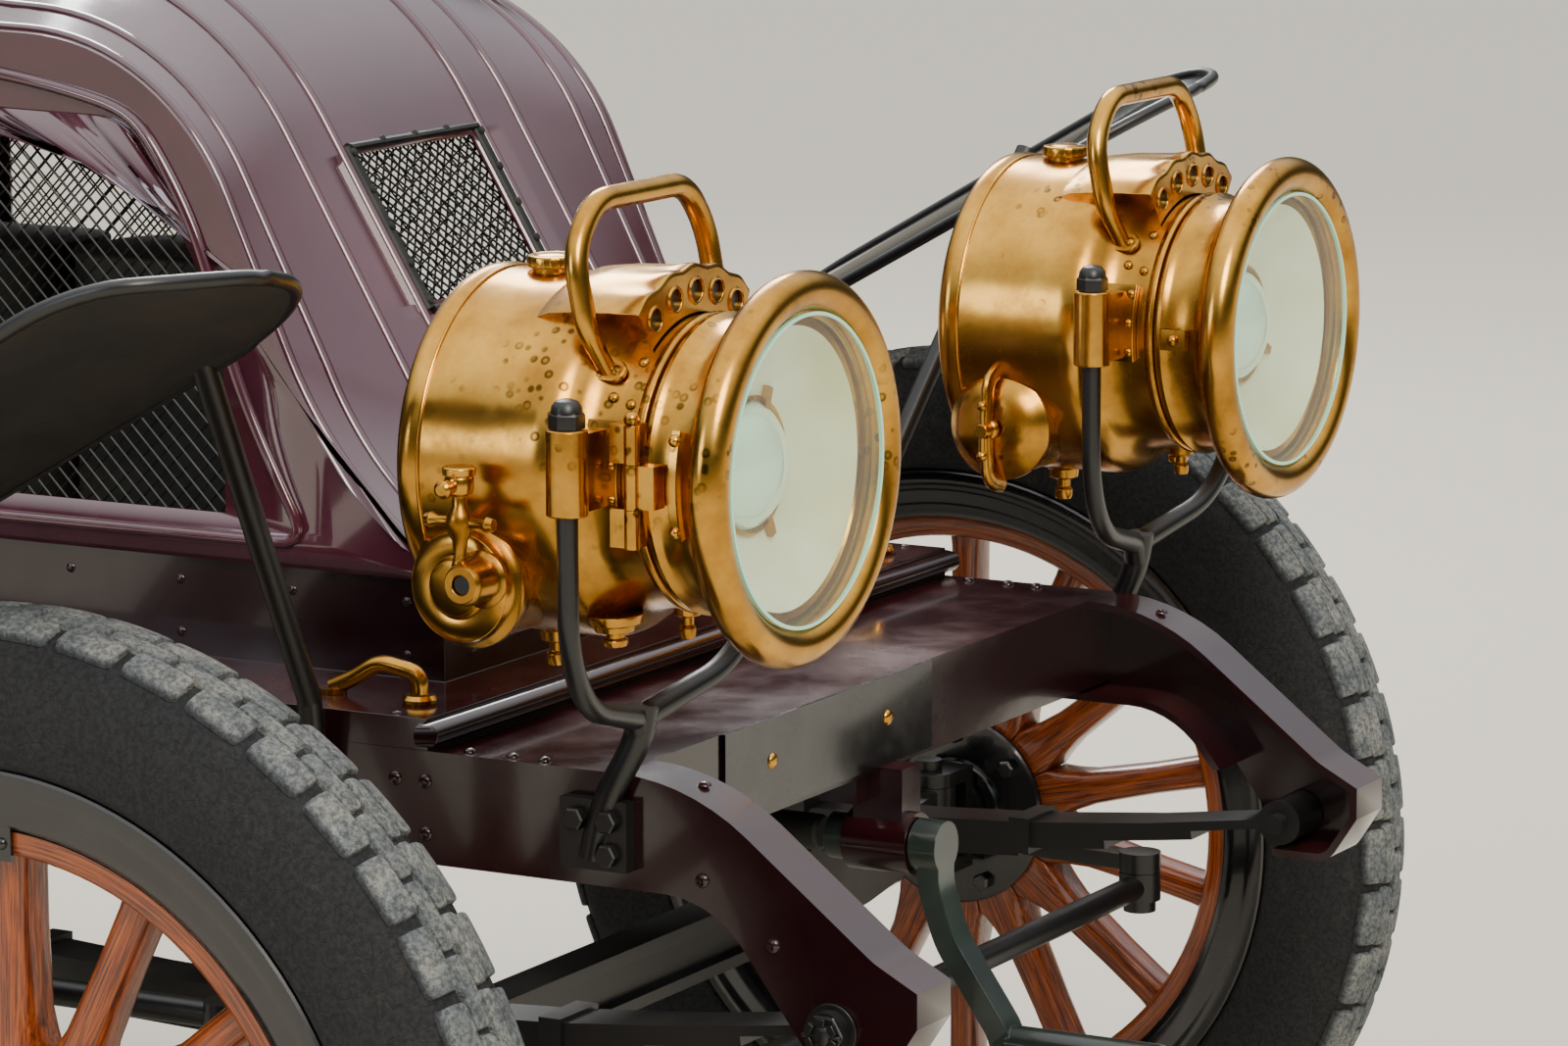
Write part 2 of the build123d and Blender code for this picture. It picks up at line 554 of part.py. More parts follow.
def slope_plate(lap, depth, t, half):
    """A plate t thick, depth inside the slope, reaching lap past its window."""
    low, high = on_slope(SLOPE_Y0 - lap, depth), on_slope(SLOPE_Y1 + lap, depth)
    return side(strip([low, high], -t), -half, half)


def bonnet():
    shell = bonnet_block(0) - bonnet_block(BONNET_T)
    shell = shell - side(raised(WINDOW, BONNET_BASE), -400, 400) - slope_plate(0, -40, 80, SLOPE_X)
    for x in (-90, 90):
        shell = shell + rod((x - 10, HINGE_Y - 2, HINGE_Z), (x + 10, HINGE_Y - 2, HINGE_Z), HINGE_R)
        shell = shell + box(x - 10, x + 10, BONNET_BACK - 30, HINGE_Y - 5, HINGE_Z - 16.5, HINGE_Z + 2)
    return shell


def mesh():
    """Wire mesh as thin sheets behind the side windows and the window in the slope."""
    x = BONNET_X - BONNET_T
    sheet = side(raised(parallel(WINDOW, 10, closed=True), BONNET_BASE), x - 2, x)
    return solids(both(sheet), slope_plate(8, BONNET_T + FIT, 2, SLOPE_X + 15))


PARTS["bonnet"] = bonnet()
PARTS["bonnet_mesh"] = mesh()


# Radiator behind the engine, and the dashboard bulkhead behind it
def arch(half, z0, shoulder, top, inner, r):
    """An upright outline with two sloping shoulders, rounded."""
    return [(-half, z0), (half, z0), (half, shoulder, r), (inner, top, r), (-inner, top, r), (-half, shoulder, r)]


core = front(arch(330, TRAY_TOP, BONNET_BASE + 380, BONNET_BASE + 455, 180, 40), HINGE_Y + 9, DASH_Y)
tank = front(arch(345, BONNET_BASE + 340, BONNET_BASE + 395, RADIATOR_TOP, 175, 50), HINGE_Y + 7, DASH_Y)
radiator = core + tank
for x in (-90, 90):
    for x0, x1 in ((x - 24, x - 10 - FIT), (x + 10 + FIT, x + 24)):
        radiator = radiator + rod((x0, HINGE_Y - 2, HINGE_Z), (x1, HINGE_Y - 2, HINGE_Z), HINGE_R)
        radiator = radiator + side([(HINGE_Y - 4, HINGE_Z + 5), (HINGE_Y - 1, HINGE_Z - 5),
                                    (HINGE_Y + 12, RADIATOR_TOP - 7), (HINGE_Y + 30, RADIATOR_TOP - 7),
                                    (HINGE_Y + 30, RADIATOR_TOP + 4)], x0, x1)
filler = (0, (HINGE_Y + DASH_Y) / 2 + 3.5)
radiator = radiator + rod((*filler, RADIATOR_TOP - 7), (*filler, RADIATOR_TOP + 38), 26)
PARTS["radiator"] = radiator + rod((*filler, RADIATOR_TOP + 28), (*filler, RADIATOR_TOP + 50), 34)
PARTS["dash"] = front(arch(385, RAIL_TOP, BONNET_BASE + 410, BONNET_BASE + 515, 200, 90), DASH_Y, DASH_Y + DASH_T)


# Floor boards with the sloping toe board
def along(t):
    """A point on the steering column, t below the wheel's centre."""
    return STEER[0], STEER[1] - t * cos(radians(RAKE)), STEER[2] - t * sin(radians(RAKE))


floor = box(-FLOOR_X, FLOOR_X, DASH_Y + DASH_T, TUB_Y1 - 20, RAIL_TOP, FLOOR_TOP)
toe = side([(DASH_Y + DASH_T, 880), (DASH_Y + DASH_T, 860), (1080, FLOOR_TOP), (1104, FLOOR_TOP)], -380, 380)
floor = floor + toe - rod(along(0), along(800), COLUMN_R + 5)
PARTS["floor"] = floor + box(-FLOOR_X, FLOOR_X, TUB_Y0 + 25, DOOR_Y1 + 155, FLOOR_TOP - LAP, FLOOR_TOP + 4)

# Body shells: front seat box and rear tub, walled all round; heights of their sides follow these lines
SEAT_SIDE = [(SEAT_Y0 - 1, 990), (SEAT_Y0 + 75, 1000, 70), (SEAT_Y0 + 200, 1245, 110), (SEAT_Y0 + 340, 1275, 90),
             (SEAT_Y0 + 390, BACK_TOP - 40, 30), (TUB_Y0 + 1, BACK_TOP - 40)]
TUB_SIDE = [(TUB_Y0 - 1, WAIST), (DOOR_Y1 + 90, WAIST, 150), (DOOR_Y1 + 270, 1300, 110), (DOOR_Y1 + 455, 1315, 80),
            (DOOR_Y1 + 515, BACK_TOP, 35), (TUB_Y1 + 1, BACK_TOP)]
SEAT_CORNER, TUB_CORNER = 90.0, 180.0


def shell_plan(x, y0, y1, r, z0, z1):
    """An upright prism with its two rear corners rounded."""
    return plan([(-x, y0), (x, y0), (x, y1, r), (-x, y1, r)], z0, z1)


def under(line):
    """All that lies below a side line, down to the floor."""
    return side([(line[0][0], FLOOR_TOP), *line, (line[-1][0], FLOOR_TOP)], -700, 700)


def seat_box():
    outer = shell_plan(SEAT_X, SEAT_Y0, TUB_Y0, SEAT_CORNER, FLOOR_TOP, BACK_TOP)
    inner = shell_plan(SEAT_X - WALL, SEAT_Y0 + WALL, TUB_Y0 - WALL, SEAT_CORNER - WALL, FLOOR_TOP - 1, BACK_TOP + 1)
    board = box(-SEAT_X + 10, SEAT_X - 10, SEAT_Y0 + 10, TUB_Y0 - 10, SEAT_BOARD - 20, SEAT_BOARD)
    return ((outer - inner) & under(SEAT_SIDE)) + (board & outer)


def tub():
    """The rear shell with both door openings, their hinge knuckles and the seat board."""
    outer = shell_plan(TUB_X, TUB_Y0, TUB_Y1, TUB_CORNER, FLOOR_TOP, BACK_TOP)
    inner = shell_plan(TUB_X - WALL, TUB_Y0 - 1, TUB_Y1 - WALL, TUB_CORNER - WALL, FLOOR_TOP - 1, BACK_TOP + 1)
    board = box(-TUB_X + 10, TUB_X - 10, DOOR_Y1 + 160, TUB_Y1 - 10, SEAT_BOARD - 10, SEAT_BOARD + 10)
    heel = box(-TUB_X + 10, TUB_X - 10, DOOR_Y1 + 160, DOOR_Y1 + 180, FLOOR_TOP, SEAT_BOARD - 8)
    shell = ((outer - inner) & under(TUB_SIDE)) + (board & outer) + heel
    shell = shell - box(-700, 700, DOOR_Y0, DOOR_Y1, FLOOR_TOP + DOOR_SILL, WAIST + 1)
    for s in (-1, 1):
        for z in DOOR_HINGES:
            for z0, z1 in ((z - 22, z - 10 - FIT), (z + 10 + FIT, z + 22)):
                shell = shell + rod((s * HINGE_X, DOOR_Y0 - 4, z0), (s * HINGE_X, DOOR_Y0 - 4, z1), HINGE_R)
                shell = shell + box(s * (TUB_X - LAP), s * HINGE_X, DOOR_Y0 - 30, DOOR_Y0 - 8, z0, z1)
    return shell


def door():
    """The left door: a flat leaf with hinge straps and a bar handle."""
    leaf_ = box(TUB_X - WALL, TUB_X, DOOR_Y0 + DOOR_GAP, DOOR_Y1 - DOOR_GAP, FLOOR_TOP + DOOR_SILL + DOOR_GAP, WAIST)
    for z in DOOR_HINGES:
        leaf_ = leaf_ + rod((HINGE_X, DOOR_Y0 - 4, z - 10), (HINGE_X, DOOR_Y0 - 4, z + 10), HINGE_R)
        leaf_ = leaf_ + box(TUB_X - LAP, HINGE_X, DOOR_Y0 + 1, DOOR_Y0 + 40, z - 10, z + 10)
    y = DOOR_Y1 - 60
    leaf_ = leaf_ + rod((TUB_X - 2, y, HANDLE_Z), (TUB_X + 24, y, HANDLE_Z), 7)
    return leaf_ + rod((TUB_X + 20, y - 35, HANDLE_Z), (TUB_X + 20, y + 15, HANDLE_Z), 8)


PARTS["seat_box"] = seat_box()
PARTS["tub"] = tub()
PARTS["door_left"] = door()
PARTS["door_right"] = other(door())

# Cushions: plain soft blocks, set clear of the walls
SOFT_R = 20.0
front_cushion = box(-520, 520, SEAT_Y0 + 28, TUB_Y0 - 115, SEAT_BOARD + FIT, SEAT_TOP)
rear_cushion = box(-540, 540, DOOR_Y1 + 165, TUB_Y1 - 130, SEAT_BOARD + 10 + FIT, SEAT_TOP + 15)
PARTS["seat_cushions"] = solids(fillet(front_cushion.edges(), SOFT_R), fillet(rear_cushion.edges(), SOFT_R))
front_back = shell_plan(SEAT_X - WALL - 3, SEAT_Y0, TUB_Y0 - WALL - FIT, SEAT_CORNER - WALL, SEAT_BOARD + FIT,
                        BACK_TOP - 50)
rear_back = shell_plan(TUB_X - WALL - 3, TUB_Y0, TUB_Y1 - WALL - FIT, TUB_CORNER - WALL, SEAT_BOARD + 10 + FIT,
                       BACK_TOP - 8)
PARTS["seat_backs"] = solids(front_back & box(-515, 515, TUB_Y0 - 112, TUB_Y0, SEAT_BOARD, BACK_TOP),
                             rear_back & box(-530, 530, TUB_Y1 - 128, TUB_Y1, SEAT_BOARD, BACK_TOP))

# Wings and running boards. A front wing twists outwards as it rises: its outer edge line stands above the
# inner one, and straight rulings join them.
WING_INNER = [(-207, 1034), (-126, 990, 300), (394, 697, 900), (617, BOARD_Z, 160), (700, BOARD_Z)]
WING_OUTER = [(-213, 1066), (-124, 1045, 300), (327, 786, 900), (617, BOARD_Z, 160), (700, BOARD_Z)]
REAR_WING = [(WHEELBASE - 600, BOARD_Z), (WHEELBASE - 520, BOARD_Z, 60), (WHEELBASE - 400, 2 * TYRE_R + 103, 430),
             (WHEELBASE + 267, 2 * TYRE_R + 103, 430), (WHEELBASE + 450, 700)]


def wing_plan(y0, y1, r0, r1):
    """A wing's plan, with a rounded leading or trailing end."""
    return plan([(WING_OUT, y0, r0), (WING_OUT, y1, r1), (WING_IN, y1, r1), (WING_IN, y0, r0)], 300, 1200)


front_wing = loft([Plane.YZ.offset(x) * outline(strip(line, WING_T))
                   for x, line in ((WING_IN, WING_INNER), (WING_OUT, WING_OUTER))], ruled=True)
front_wing = front_wing & wing_plan(-209, 701, 105, 0)
rear_wing = side(strip(REAR_WING, WING_T), WING_IN, WING_OUT) & wing_plan(WHEELBASE - 601, WHEELBASE + 452, 0, 100)
PARTS["wings"] = solids(both(front_wing), both(rear_wing))

board = box(WING_IN - 10, WING_OUT, BOARD_Y0, BOARD_Y1, BOARD_Z - 16, BOARD_Z + 4)
for y in (1100, (BOARD_Y1 + 984) / 2, BOARD_Y1 - 116):
    board = board + front([(RAIL_X - RAIL_W, RAIL_BOT), (RAIL_X - 2, RAIL_BOT), (RAIL_X + 30, 520, 60),
                           (560, 396, 80), (790, BOARD_Z - 14), (790, BOARD_Z - 26), (545, 376, 80),
                           (RAIL_X + 4, 500, 60), (RAIL_X - RAIL_W, RAIL_BOT - 14)], y, y + 34)
PARTS["running_boards"] = both(board)


# Wing stays: bent iron bars from the rails, each trimmed where it meets its wing
STAY_X, STAY_R = WING_IN + 26, 9.0
stays = []
for y, via, top, wing in ((-45, (RAIL_X + 20, -46, 705), (STAY_X, -92, 1000), front_wing),
                          (330, (RAIL_X + 30, 330, 650), (STAY_X, 330, 770), front_wing),
                          (WHEELBASE - 380, (STAY_X - 14, WHEELBASE - 380, 632), (STAY_X, WHEELBASE - 380, 800), rear_wing),
                          (WHEELBASE + 240, (STAY_X - 14, WHEELBASE + 240, 650), (STAY_X, WHEELBASE + 240, 910), rear_wing)):
    flange = rod((RAIL_X, y, MOUNT_Z), (RAIL_X + 12, y, MOUNT_Z), 16)
    bar = flange + bent([(RAIL_X + 9, y, MOUNT_Z), via, top], STAY_R, 12) - Pos(0, 0, -2 * FIT) * wing
    stays.append(max(bar.solids(), key=lambda s: s.volume))
PARTS["wing_stays"] = solids(*[both(s) for s in stays])


# Headlamps: drum with its gas generator, the door with its bezel, the glass and the mirror
def lamp_drum():
    wall = [(LAMP_BACK, 0), (LAMP_BACK, DRUM_R, 9), (-309, DRUM_R, 16), (-326, NECK_R + 1, 12), (NECK_Y, NECK_R)]
    body = lathe_y(strip(wall, SHEET))
    vent = Rot(0, -35, 0) * lathe_y([(-350, 100), (-272, 100), (-272, 134, 5), (-350, 134, 5)], 70)
    for a in (-27, -13.5, 0, 13.5, 27):
        x, z = 118 * sin(radians(a)), 118 * cos(radians(a))
        vent = vent - rod((x, -351, z), (x, -325, z), 8)
    body = body + vent
    body = body + lathe_y([(-196, 123), (-207, 123), (-207, 127.5, 2), (-196, 127.5, 2)])
    body = body + rod((-128, -240, -77), (130, -240, -77), 42) + rod((130, -261, -69), (160, -261, -69), 13)
    body = body + rod((148, -250, -60), (148, -250, -12), 8) + rod((148, -250, -12), (148, -250, 0), 11)
    body = body + rod((0, -240, 120), (0, -240, 128), 15) + rod((0, -240, 127), (0, -240, 136), 19)
    body = body + bent([(88, -310, 78), (83, -310, 182), (-83, -310, 182), (-88, -310, 78)], 8.5, 34)
    body = body + rod((0, -240, -120), (0, -240, -146), 9) + rod((0, -345, -98), (0, -345, -124), 10)
    for s in (-1, 1):
        lug = box(s * 90, s * 128, FORK_Y - 16, FORK_Y + 16, -16, 36)
        lug = lug + rod((s * FORK_X, FORK_Y, -16), (s * FORK_X, FORK_Y, 36), 14)
        lug = lug - Rot(90, 0, 0) * Cylinder(NECK_R - 0.5, 800)
        body = body + lug - rod((s * FORK_X, FORK_Y, -30), (s * FORK_X, FORK_Y, 50), FORK_R + RUN)
    for z0, z1 in ((-40, -KNUCKLE - FIT), (KNUCKLE + FIT, 40)):
        body = body + rod((LAMP_HINGE, NECK_Y - 3, z0), (LAMP_HINGE, NECK_Y - 3, z1), 5)
        body = body + box(90, LAMP_HINGE, NECK_Y, NECK_Y + 10, z0, z1) - rod((0, -380, 0), (0, -340, 0), NECK_R - 2)
    return body


def lamp_door():
    """The hinged front: a flared neck, the seat of the glass and a round bezel."""
    y0 = NECK_Y - 3
    neck = lathe_y(strip([(y0, NECK_R), (-404, NECK_R, 14), (-416, NECK_R + 11)], SHEET))
    torus = Pos(0, -431, 0) * Rot(90, 0, 0) * Torus(BEZEL_R, BEZEL_T)
    seat = lathe_y([(-414, 106), (-414, 113), (-431, 113), (-431, 109), (-424, 106)])
    body = neck + torus + seat
    body = body - lathe_y([(GLASS_BACK, 0), (GLASS_BACK, GLASS_R + FIT), (-441, GLASS_R + FIT), (-441, 0)])
    body = body + rod((LAMP_HINGE, y0, -KNUCKLE), (LAMP_HINGE, y0, KNUCKLE), 5)
    return body + box(98, LAMP_HINGE, -384, -373, -KNUCKLE, KNUCKLE) - rod((0, -410, 0), (0, -360, 0), NECK_R - 2)


GLASS_BACK, GLASS_T = -436.0, 4.0
spot = Pos(LAMP_X, 0, LAMP_Z)
PARTS["lamp_drums"] = both(spot * lamp_drum())
PARTS["lamp_door_left"] = spot * lamp_door()
PARTS["lamp_door_right"] = other(spot * lamp_door())
glass = spot * lathe_y([(GLASS_BACK, 0), (GLASS_BACK, GLASS_R), (GLASS_BACK - GLASS_T, GLASS_R), (GLASS_BACK - GLASS_T, 0)])
PARTS["lamp_glass_left"] = glass
PARTS["lamp_glass_right"] = other(glass)
dish = lathe_y([(-301, 0), (-301, 40), (-303, 97), (-322, 97), (-330, 80, 20), (-322, 55, 60), (-316, 0)])
PARTS["lamp_mirrors"] = both(spot * (dish + rod((0, LAMP_BACK - SHEET, 0), (0, -302, 0), 12)))


# Lamp forks: a bent bar under each lamp from socket to socket, on a stem bolted to the rail
def fork():
    arms = [(LAMP_X + s * FORK_X, FORK_Y, z) for s, z in ((-1, LAMP_Z + 38), (-1, 745))]
    arms += [(LAMP_X, FORK_Y + 22, 712)] + [(2 * LAMP_X - x, y, z) for x, y, z in reversed(arms)]
    bar = bent(arms, FORK_R, 86)
    for s in (-1, 1):
        bar = bar + rod((LAMP_X + s * FORK_X, FORK_Y, LAMP_Z + 36), (LAMP_X + s * FORK_X, FORK_Y, LAMP_Z + 48), 11)
    stem = bent([(LAMP_X, FORK_Y + 22, 713), (LAMP_X + 9, -296, 680), (LAMP_X + 9, -272, 612)], FORK_R + 1, 40)
    return bar + stem + box(RAIL_X, RAIL_X + 14, -300, -250, 606, 652)


PARTS["lamp_forks"] = both(fork())

# Blank front plate, and the starting handle
PLATE_T = 3.0
plate = box(-250, 72, FRONT_CROSS - PLATE_T, FRONT_CROSS, 604, RAIL_TOP)
for x in PLATE_SCREWS:
    plate = plate - rod((x, -300, PLATE_MID), (x, -270, PLATE_MID), SCREW_R)
PARTS["front_plate"] = plate
HANDLE_LOW = 399.0
web = [(-331, CRANK_Z + 10), (-331, 515, 60), (-345, 474, 80), (-393, 405, 40), (-393, 386)]
crank = rod((0, -244, CRANK_Z), (0, -334, CRANK_Z), SHAFT_R) + rod((0, -316.8, CRANK_Z), (0, -340, CRANK_Z), 20)
crank = crank + rod((0, -244, CRANK_Z), (0, -261, CRANK_Z), 18)
crank = crank + side(strip(parallel(web, -9), 18), -13, 13)
PARTS["crank"] = crank + rod((0, -396, HANDLE_LOW), (0, -520, HANDLE_LOW), 15)

# Steering: box on the rail, column tube and wheel
column = side([(DROP_Y - 60, 596), (DROP_Y + 60, 596), (DROP_Y + 60, RAIL_TOP), (DROP_Y - 60, RAIL_TOP)],
              -RAIL_X + RAIL_W, -250)
column = column + rod(along(30), along(780), COLUMN_R)
PARTS["steering_column"] = column - rod(along(0), along(110), 10 + RUN)
arm = plan([(18, -11), (150, -7, 60), (STEER_R, -9), (STEER_R, 9), (150, 7, 60), (18, 11)], -4, 4)
turned = Torus(STEER_R, 13) + Cylinder(26, 44) + Pos(0, 0, -50) * Cylinder(10, 100)
turned = turned + [Rot(0, 0, 90 * i + 45) * arm for i in range(4)]
PARTS["steering_wheel"] = Pos(*STEER) * Rot(-(90 - RAKE), 0, 0) * turned

# Hand lever with its bracket on the rail
lever = box(-470, -RAIL_X, 1130, 1230, 612, 650)
PARTS["levers"] = lever + bent([(-440, 1180, MOUNT_Z), (-590, 1175, 640), (-605, 1110, 1150)], 9, 30)

# Silencer under the left rail, with its pipes
SILENCER_X, SILENCER_Z = 200.0, 500.0
SILENCER_Y0, SILENCER_Y1 = CROSS_Y[1] - 150, WHEELBASE - 600
pipe = rod((SILENCER_X, SILENCER_Y0, SILENCER_Z), (SILENCER_X, SILENCER_Y1, SILENCER_Z), 62)
pipe = pipe + bent([(121, 540, 648), (265, 540, 648), (265, 760, 648), (265, 960, 520),
                    (SILENCER_X, SILENCER_Y0 + 10, SILENCER_Z)], 20, 60)
pipe = pipe + box(120, 132, 510, 570, 620, 676)
pipe = pipe + bent([(SILENCER_X, SILENCER_Y1 - 10, SILENCER_Z), (230, WHEELBASE - 200, 520),
                    (230, WHEELBASE + 300, 505)], 16, 150)
PARTS["exhaust"] = pipe + box(SILENCER_X - 8, SILENCER_X + 8, CROSS_Y[1] + 12, CROSS_Y[1] + 28, 550, 606)

# Move the car so that the middle of its box is over the origin
lo_y = min(s.bounding_box().min.Y for s in PARTS.values())
hi_y = max(s.bounding_box().max.Y for s in PARTS.values())
shift = -(lo_y + hi_y) / 2
print("shift", round(shift, 3), "length", round(hi_y - lo_y, 1))
for name, shape in PARTS.items():
    pieces = [s.moved(Location((0, shift, 0))) for s in shape.solids()]
    export_step(pieces[0] if len(pieces) == 1 else Compound(pieces), "parts/" + name + ".step")
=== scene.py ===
import math

import bmesh
import bpy
import numpy as np
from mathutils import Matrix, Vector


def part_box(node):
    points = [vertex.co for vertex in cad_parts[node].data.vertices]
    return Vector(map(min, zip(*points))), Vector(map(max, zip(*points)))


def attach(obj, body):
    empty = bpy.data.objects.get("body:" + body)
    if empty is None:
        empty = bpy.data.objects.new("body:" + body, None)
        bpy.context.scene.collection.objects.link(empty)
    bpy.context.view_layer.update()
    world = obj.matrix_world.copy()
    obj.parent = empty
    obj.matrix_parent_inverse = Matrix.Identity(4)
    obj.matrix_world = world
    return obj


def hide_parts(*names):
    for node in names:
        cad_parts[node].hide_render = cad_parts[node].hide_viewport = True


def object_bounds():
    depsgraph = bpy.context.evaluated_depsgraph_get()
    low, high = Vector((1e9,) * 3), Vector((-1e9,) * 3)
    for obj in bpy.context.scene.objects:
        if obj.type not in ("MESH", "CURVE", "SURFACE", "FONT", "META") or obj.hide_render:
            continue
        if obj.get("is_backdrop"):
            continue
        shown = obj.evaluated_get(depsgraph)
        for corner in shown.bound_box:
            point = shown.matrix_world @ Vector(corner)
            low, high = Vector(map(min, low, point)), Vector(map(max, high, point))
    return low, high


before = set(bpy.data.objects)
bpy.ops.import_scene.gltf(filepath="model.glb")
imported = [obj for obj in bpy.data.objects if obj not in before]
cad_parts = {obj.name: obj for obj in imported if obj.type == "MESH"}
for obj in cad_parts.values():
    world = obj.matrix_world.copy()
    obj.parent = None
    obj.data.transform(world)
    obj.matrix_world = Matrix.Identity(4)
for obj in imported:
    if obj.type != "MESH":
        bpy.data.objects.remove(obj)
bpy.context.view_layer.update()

# Where the car stands.
# Sizes below are millimetres from the front axle's middle on the ground, as in the part's source;
# the axle's own box says how far that point is from the frame's origin.
low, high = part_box("front_axle")
AXLE_Y = (low.y + high.y) / 2
MM, MERGE = 0.001, 0.00002  # metres


# Camera, floor and light.
# The camera stands where the photograph was taken from: ahead and to the right of the car, 1.55 m up,
# with a long lens. A soft pale sky over a dark horizon, three large lamps and a pale round floor stand for
# the drive it was parked on.
def aim(yaw, pitch, roll):
    """A camera's three axes: it looks along yaw (from +Y towards +X) and pitch, then rolls about that."""
    yaw, pitch, roll = (math.radians(a) for a in (yaw, pitch, roll))
    ahead = np.array([math.cos(pitch) * math.sin(yaw), math.cos(pitch) * math.cos(yaw), math.sin(pitch)])
    right = np.cross(ahead, [0, 0, 1])
    right /= np.linalg.norm(right)
    up = np.cross(right, ahead)
    right, up = (math.cos(roll) * right + math.sin(roll) * up, math.cos(roll) * up - math.sin(roll) * right)
    return right, up, -ahead


PHOTO_WIDTH, PHOTO_FOCAL = 1600.0, 6108.1  # pixels, of the photograph's frame
VIEW_YAW, VIEW_PITCH, VIEW_ROLL = 61.16, -9.72, -0.07
VIEW_FROM = (-3.9177, -2.3579 + AXLE_Y, 1.5475)  # metres
lens = bpy.data.cameras.new("view")
lens.sensor_fit = "HORIZONTAL"
lens.sensor_width = 36.0
lens.lens = lens.sensor_width * PHOTO_FOCAL / PHOTO_WIDTH
lens.clip_end = 100.0
camera = bpy.data.objects.new("view", lens)
bpy.context.scene.collection.objects.link(camera)
right, up, back = aim(VIEW_YAW, VIEW_PITCH, VIEW_ROLL)
stand = camera.matrix_world.copy()
for i in range(3):
    stand[i][:] = right[i], up[i], back[i], VIEW_FROM[i]
camera.matrix_world = stand
bpy.context.scene.camera = camera


def linear(hex_colour):
    """An sRGB hex colour as linear red, green, blue and an alpha of one."""
    c = np.array([int(hex_colour[i:i + 2], 16) for i in (1, 3, 5)]) / 255.0
    c = np.where(c <= 0.04045, c / 12.92, ((c + 0.055) / 1.055) ** 2.4)
    return (*c.tolist(), 1.0)


def node(tree, kind, values=None, links=None, **settings):
    """Adds one shader node with its settings, its sockets' values and the links that come into it. A Mix
    node's sockets go by number: 0 is its share, 2 and 3 its plain values, 6 and 7 its colours."""
    made = tree.nodes.new("ShaderNode" + kind)
    for key, value in settings.items():
        setattr(made, key, value)
    for key, value in (values or {}).items():
        made.inputs[key].default_value = value
    for key, source in (links or {}).items():
        tree.links.new(source, made.inputs[key])
    return made


def ramp(tree, source, *stops):
    """A colour ramp with (place, colour) stops."""
    made = node(tree, "ValToRGB", links={0: source})
    points = made.color_ramp.elements
    while len(points) < len(stops):
        points.new(0.5)
    for point, (place, colour) in zip(points, stops):
        point.position = place
        point.color = linear(colour) if isinstance(colour, str) else (colour, colour, colour, 1.0)
    return made


def material(name, colour, rough, metal=0.0, **sockets):
    """A material with its shader set to plain values, and the tree and shader to build on."""
    made = bpy.data.materials.new(name)
    made.use_nodes = True
    tree = made.node_tree
    shader = tree.nodes["Principled BSDF"]
    shader.inputs["Base Color"].default_value = linear(colour)
    shader.inputs["Roughness"].default_value = rough
    shader.inputs["Metallic"].default_value = metal
    for key, value in sockets.items():
        shader.inputs[key.replace("_", " ")].default_value = value
    return made, tree, shader


def noise(tree, scale, detail, rough=0.5):
    """A noise texture over the object's own coordinates, in metres."""
    spot = node(tree, "TexCoord")
    return node(tree, "TexNoise", {"Scale": scale, "Detail": detail, "Roughness": rough},
                {"Vector": spot.outputs["Object"]})


def upward(tree, film):
    """A texture's value on faces that look up, and less of it towards upright ones."""
    facing = node(tree, "NewGeometry")
    rise = node(tree, "SeparateXYZ", links={0: facing.outputs["Normal"]})
    return node(tree, "Math", links={0: rise.outputs[2], 1: film.outputs["Fac"]}, operation="MULTIPLY")


def raised(tree, shader, height, strength, distance):
    """Lets a texture's value raise the surface, by a distance in metres."""
    bump = node(tree, "Bump", {"Strength": strength, "Distance": distance}, {"Height": height})
    tree.links.new(bump.outputs[0], shader.inputs["Normal"])
    return bump


world = bpy.data.worlds.new("sky")
bpy.context.scene.world = world
world.use_nodes = True
sky = world.node_tree
place = node(sky, "TexCoord")
parts = node(sky, "SeparateXYZ", links={0: place.outputs["Generated"]})
heights = ramp(sky, parts.outputs[2], (0.0, "#6b665d"), (0.08, "#2c2f27"), (0.28, "#40453f"),
               (0.46, "#b0b5ba"), (0.80, "#ffffff"))
sky.links.new(heights.outputs[0], sky.nodes["Background"].inputs[0])
sky.nodes["Background"].inputs[1].default_value = 1.9

FLOOR_R = 22.0
floor_mesh = bpy.data.meshes.new("floor_plane")
round_edge = [(FLOOR_R * math.cos(math.radians(a)), FLOOR_R * math.sin(math.radians(a)), 0)
              for a in range(0, 360, 4)]
floor_mesh.from_pydata(round_edge, [], [tuple(range(len(round_edge)))])
floor_plane = bpy.data.objects.new("floor_plane", floor_mesh)
bpy.context.scene.collection.objects.link(floor_plane)
pale, tree, shader = material("pale_floor", "#cfc8b8", 0.9)
floor_mesh.materials.append(pale)
floor_plane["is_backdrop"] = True

for name, spot, target, size, power, colour in (
        ("key", (-4.2, -5.4, 5.2), (0.0, -1.4, 0.8), 3.2, 360.0, "#fff4e4"),
        ("fill", (-6.5, 1.5, 2.6), (0.0, -1.0, 0.7), 2.6, 90.0, "#eef3ff"),
        ("rim", (4.5, 1.8, 4.6), (0.0, -1.2, 0.8), 2.6, 260.0, "#ffffff")):
    lamp = bpy.data.lights.new(name, "AREA")
    lamp.shape = "DISK"
    lamp.size = size
    lamp.energy = power
    lamp.color = linear(colour)[:3]
    holder = bpy.data.objects.new(name, lamp)
    bpy.context.scene.collection.objects.link(holder)
    line = np.array(target) - np.array(spot)
    holder.location = spot
    holder.rotation_euler = (math.atan2(math.hypot(line[0], line[1]), -line[2]), 0.0,
                             math.atan2(line[1], line[0]) - math.pi / 2)


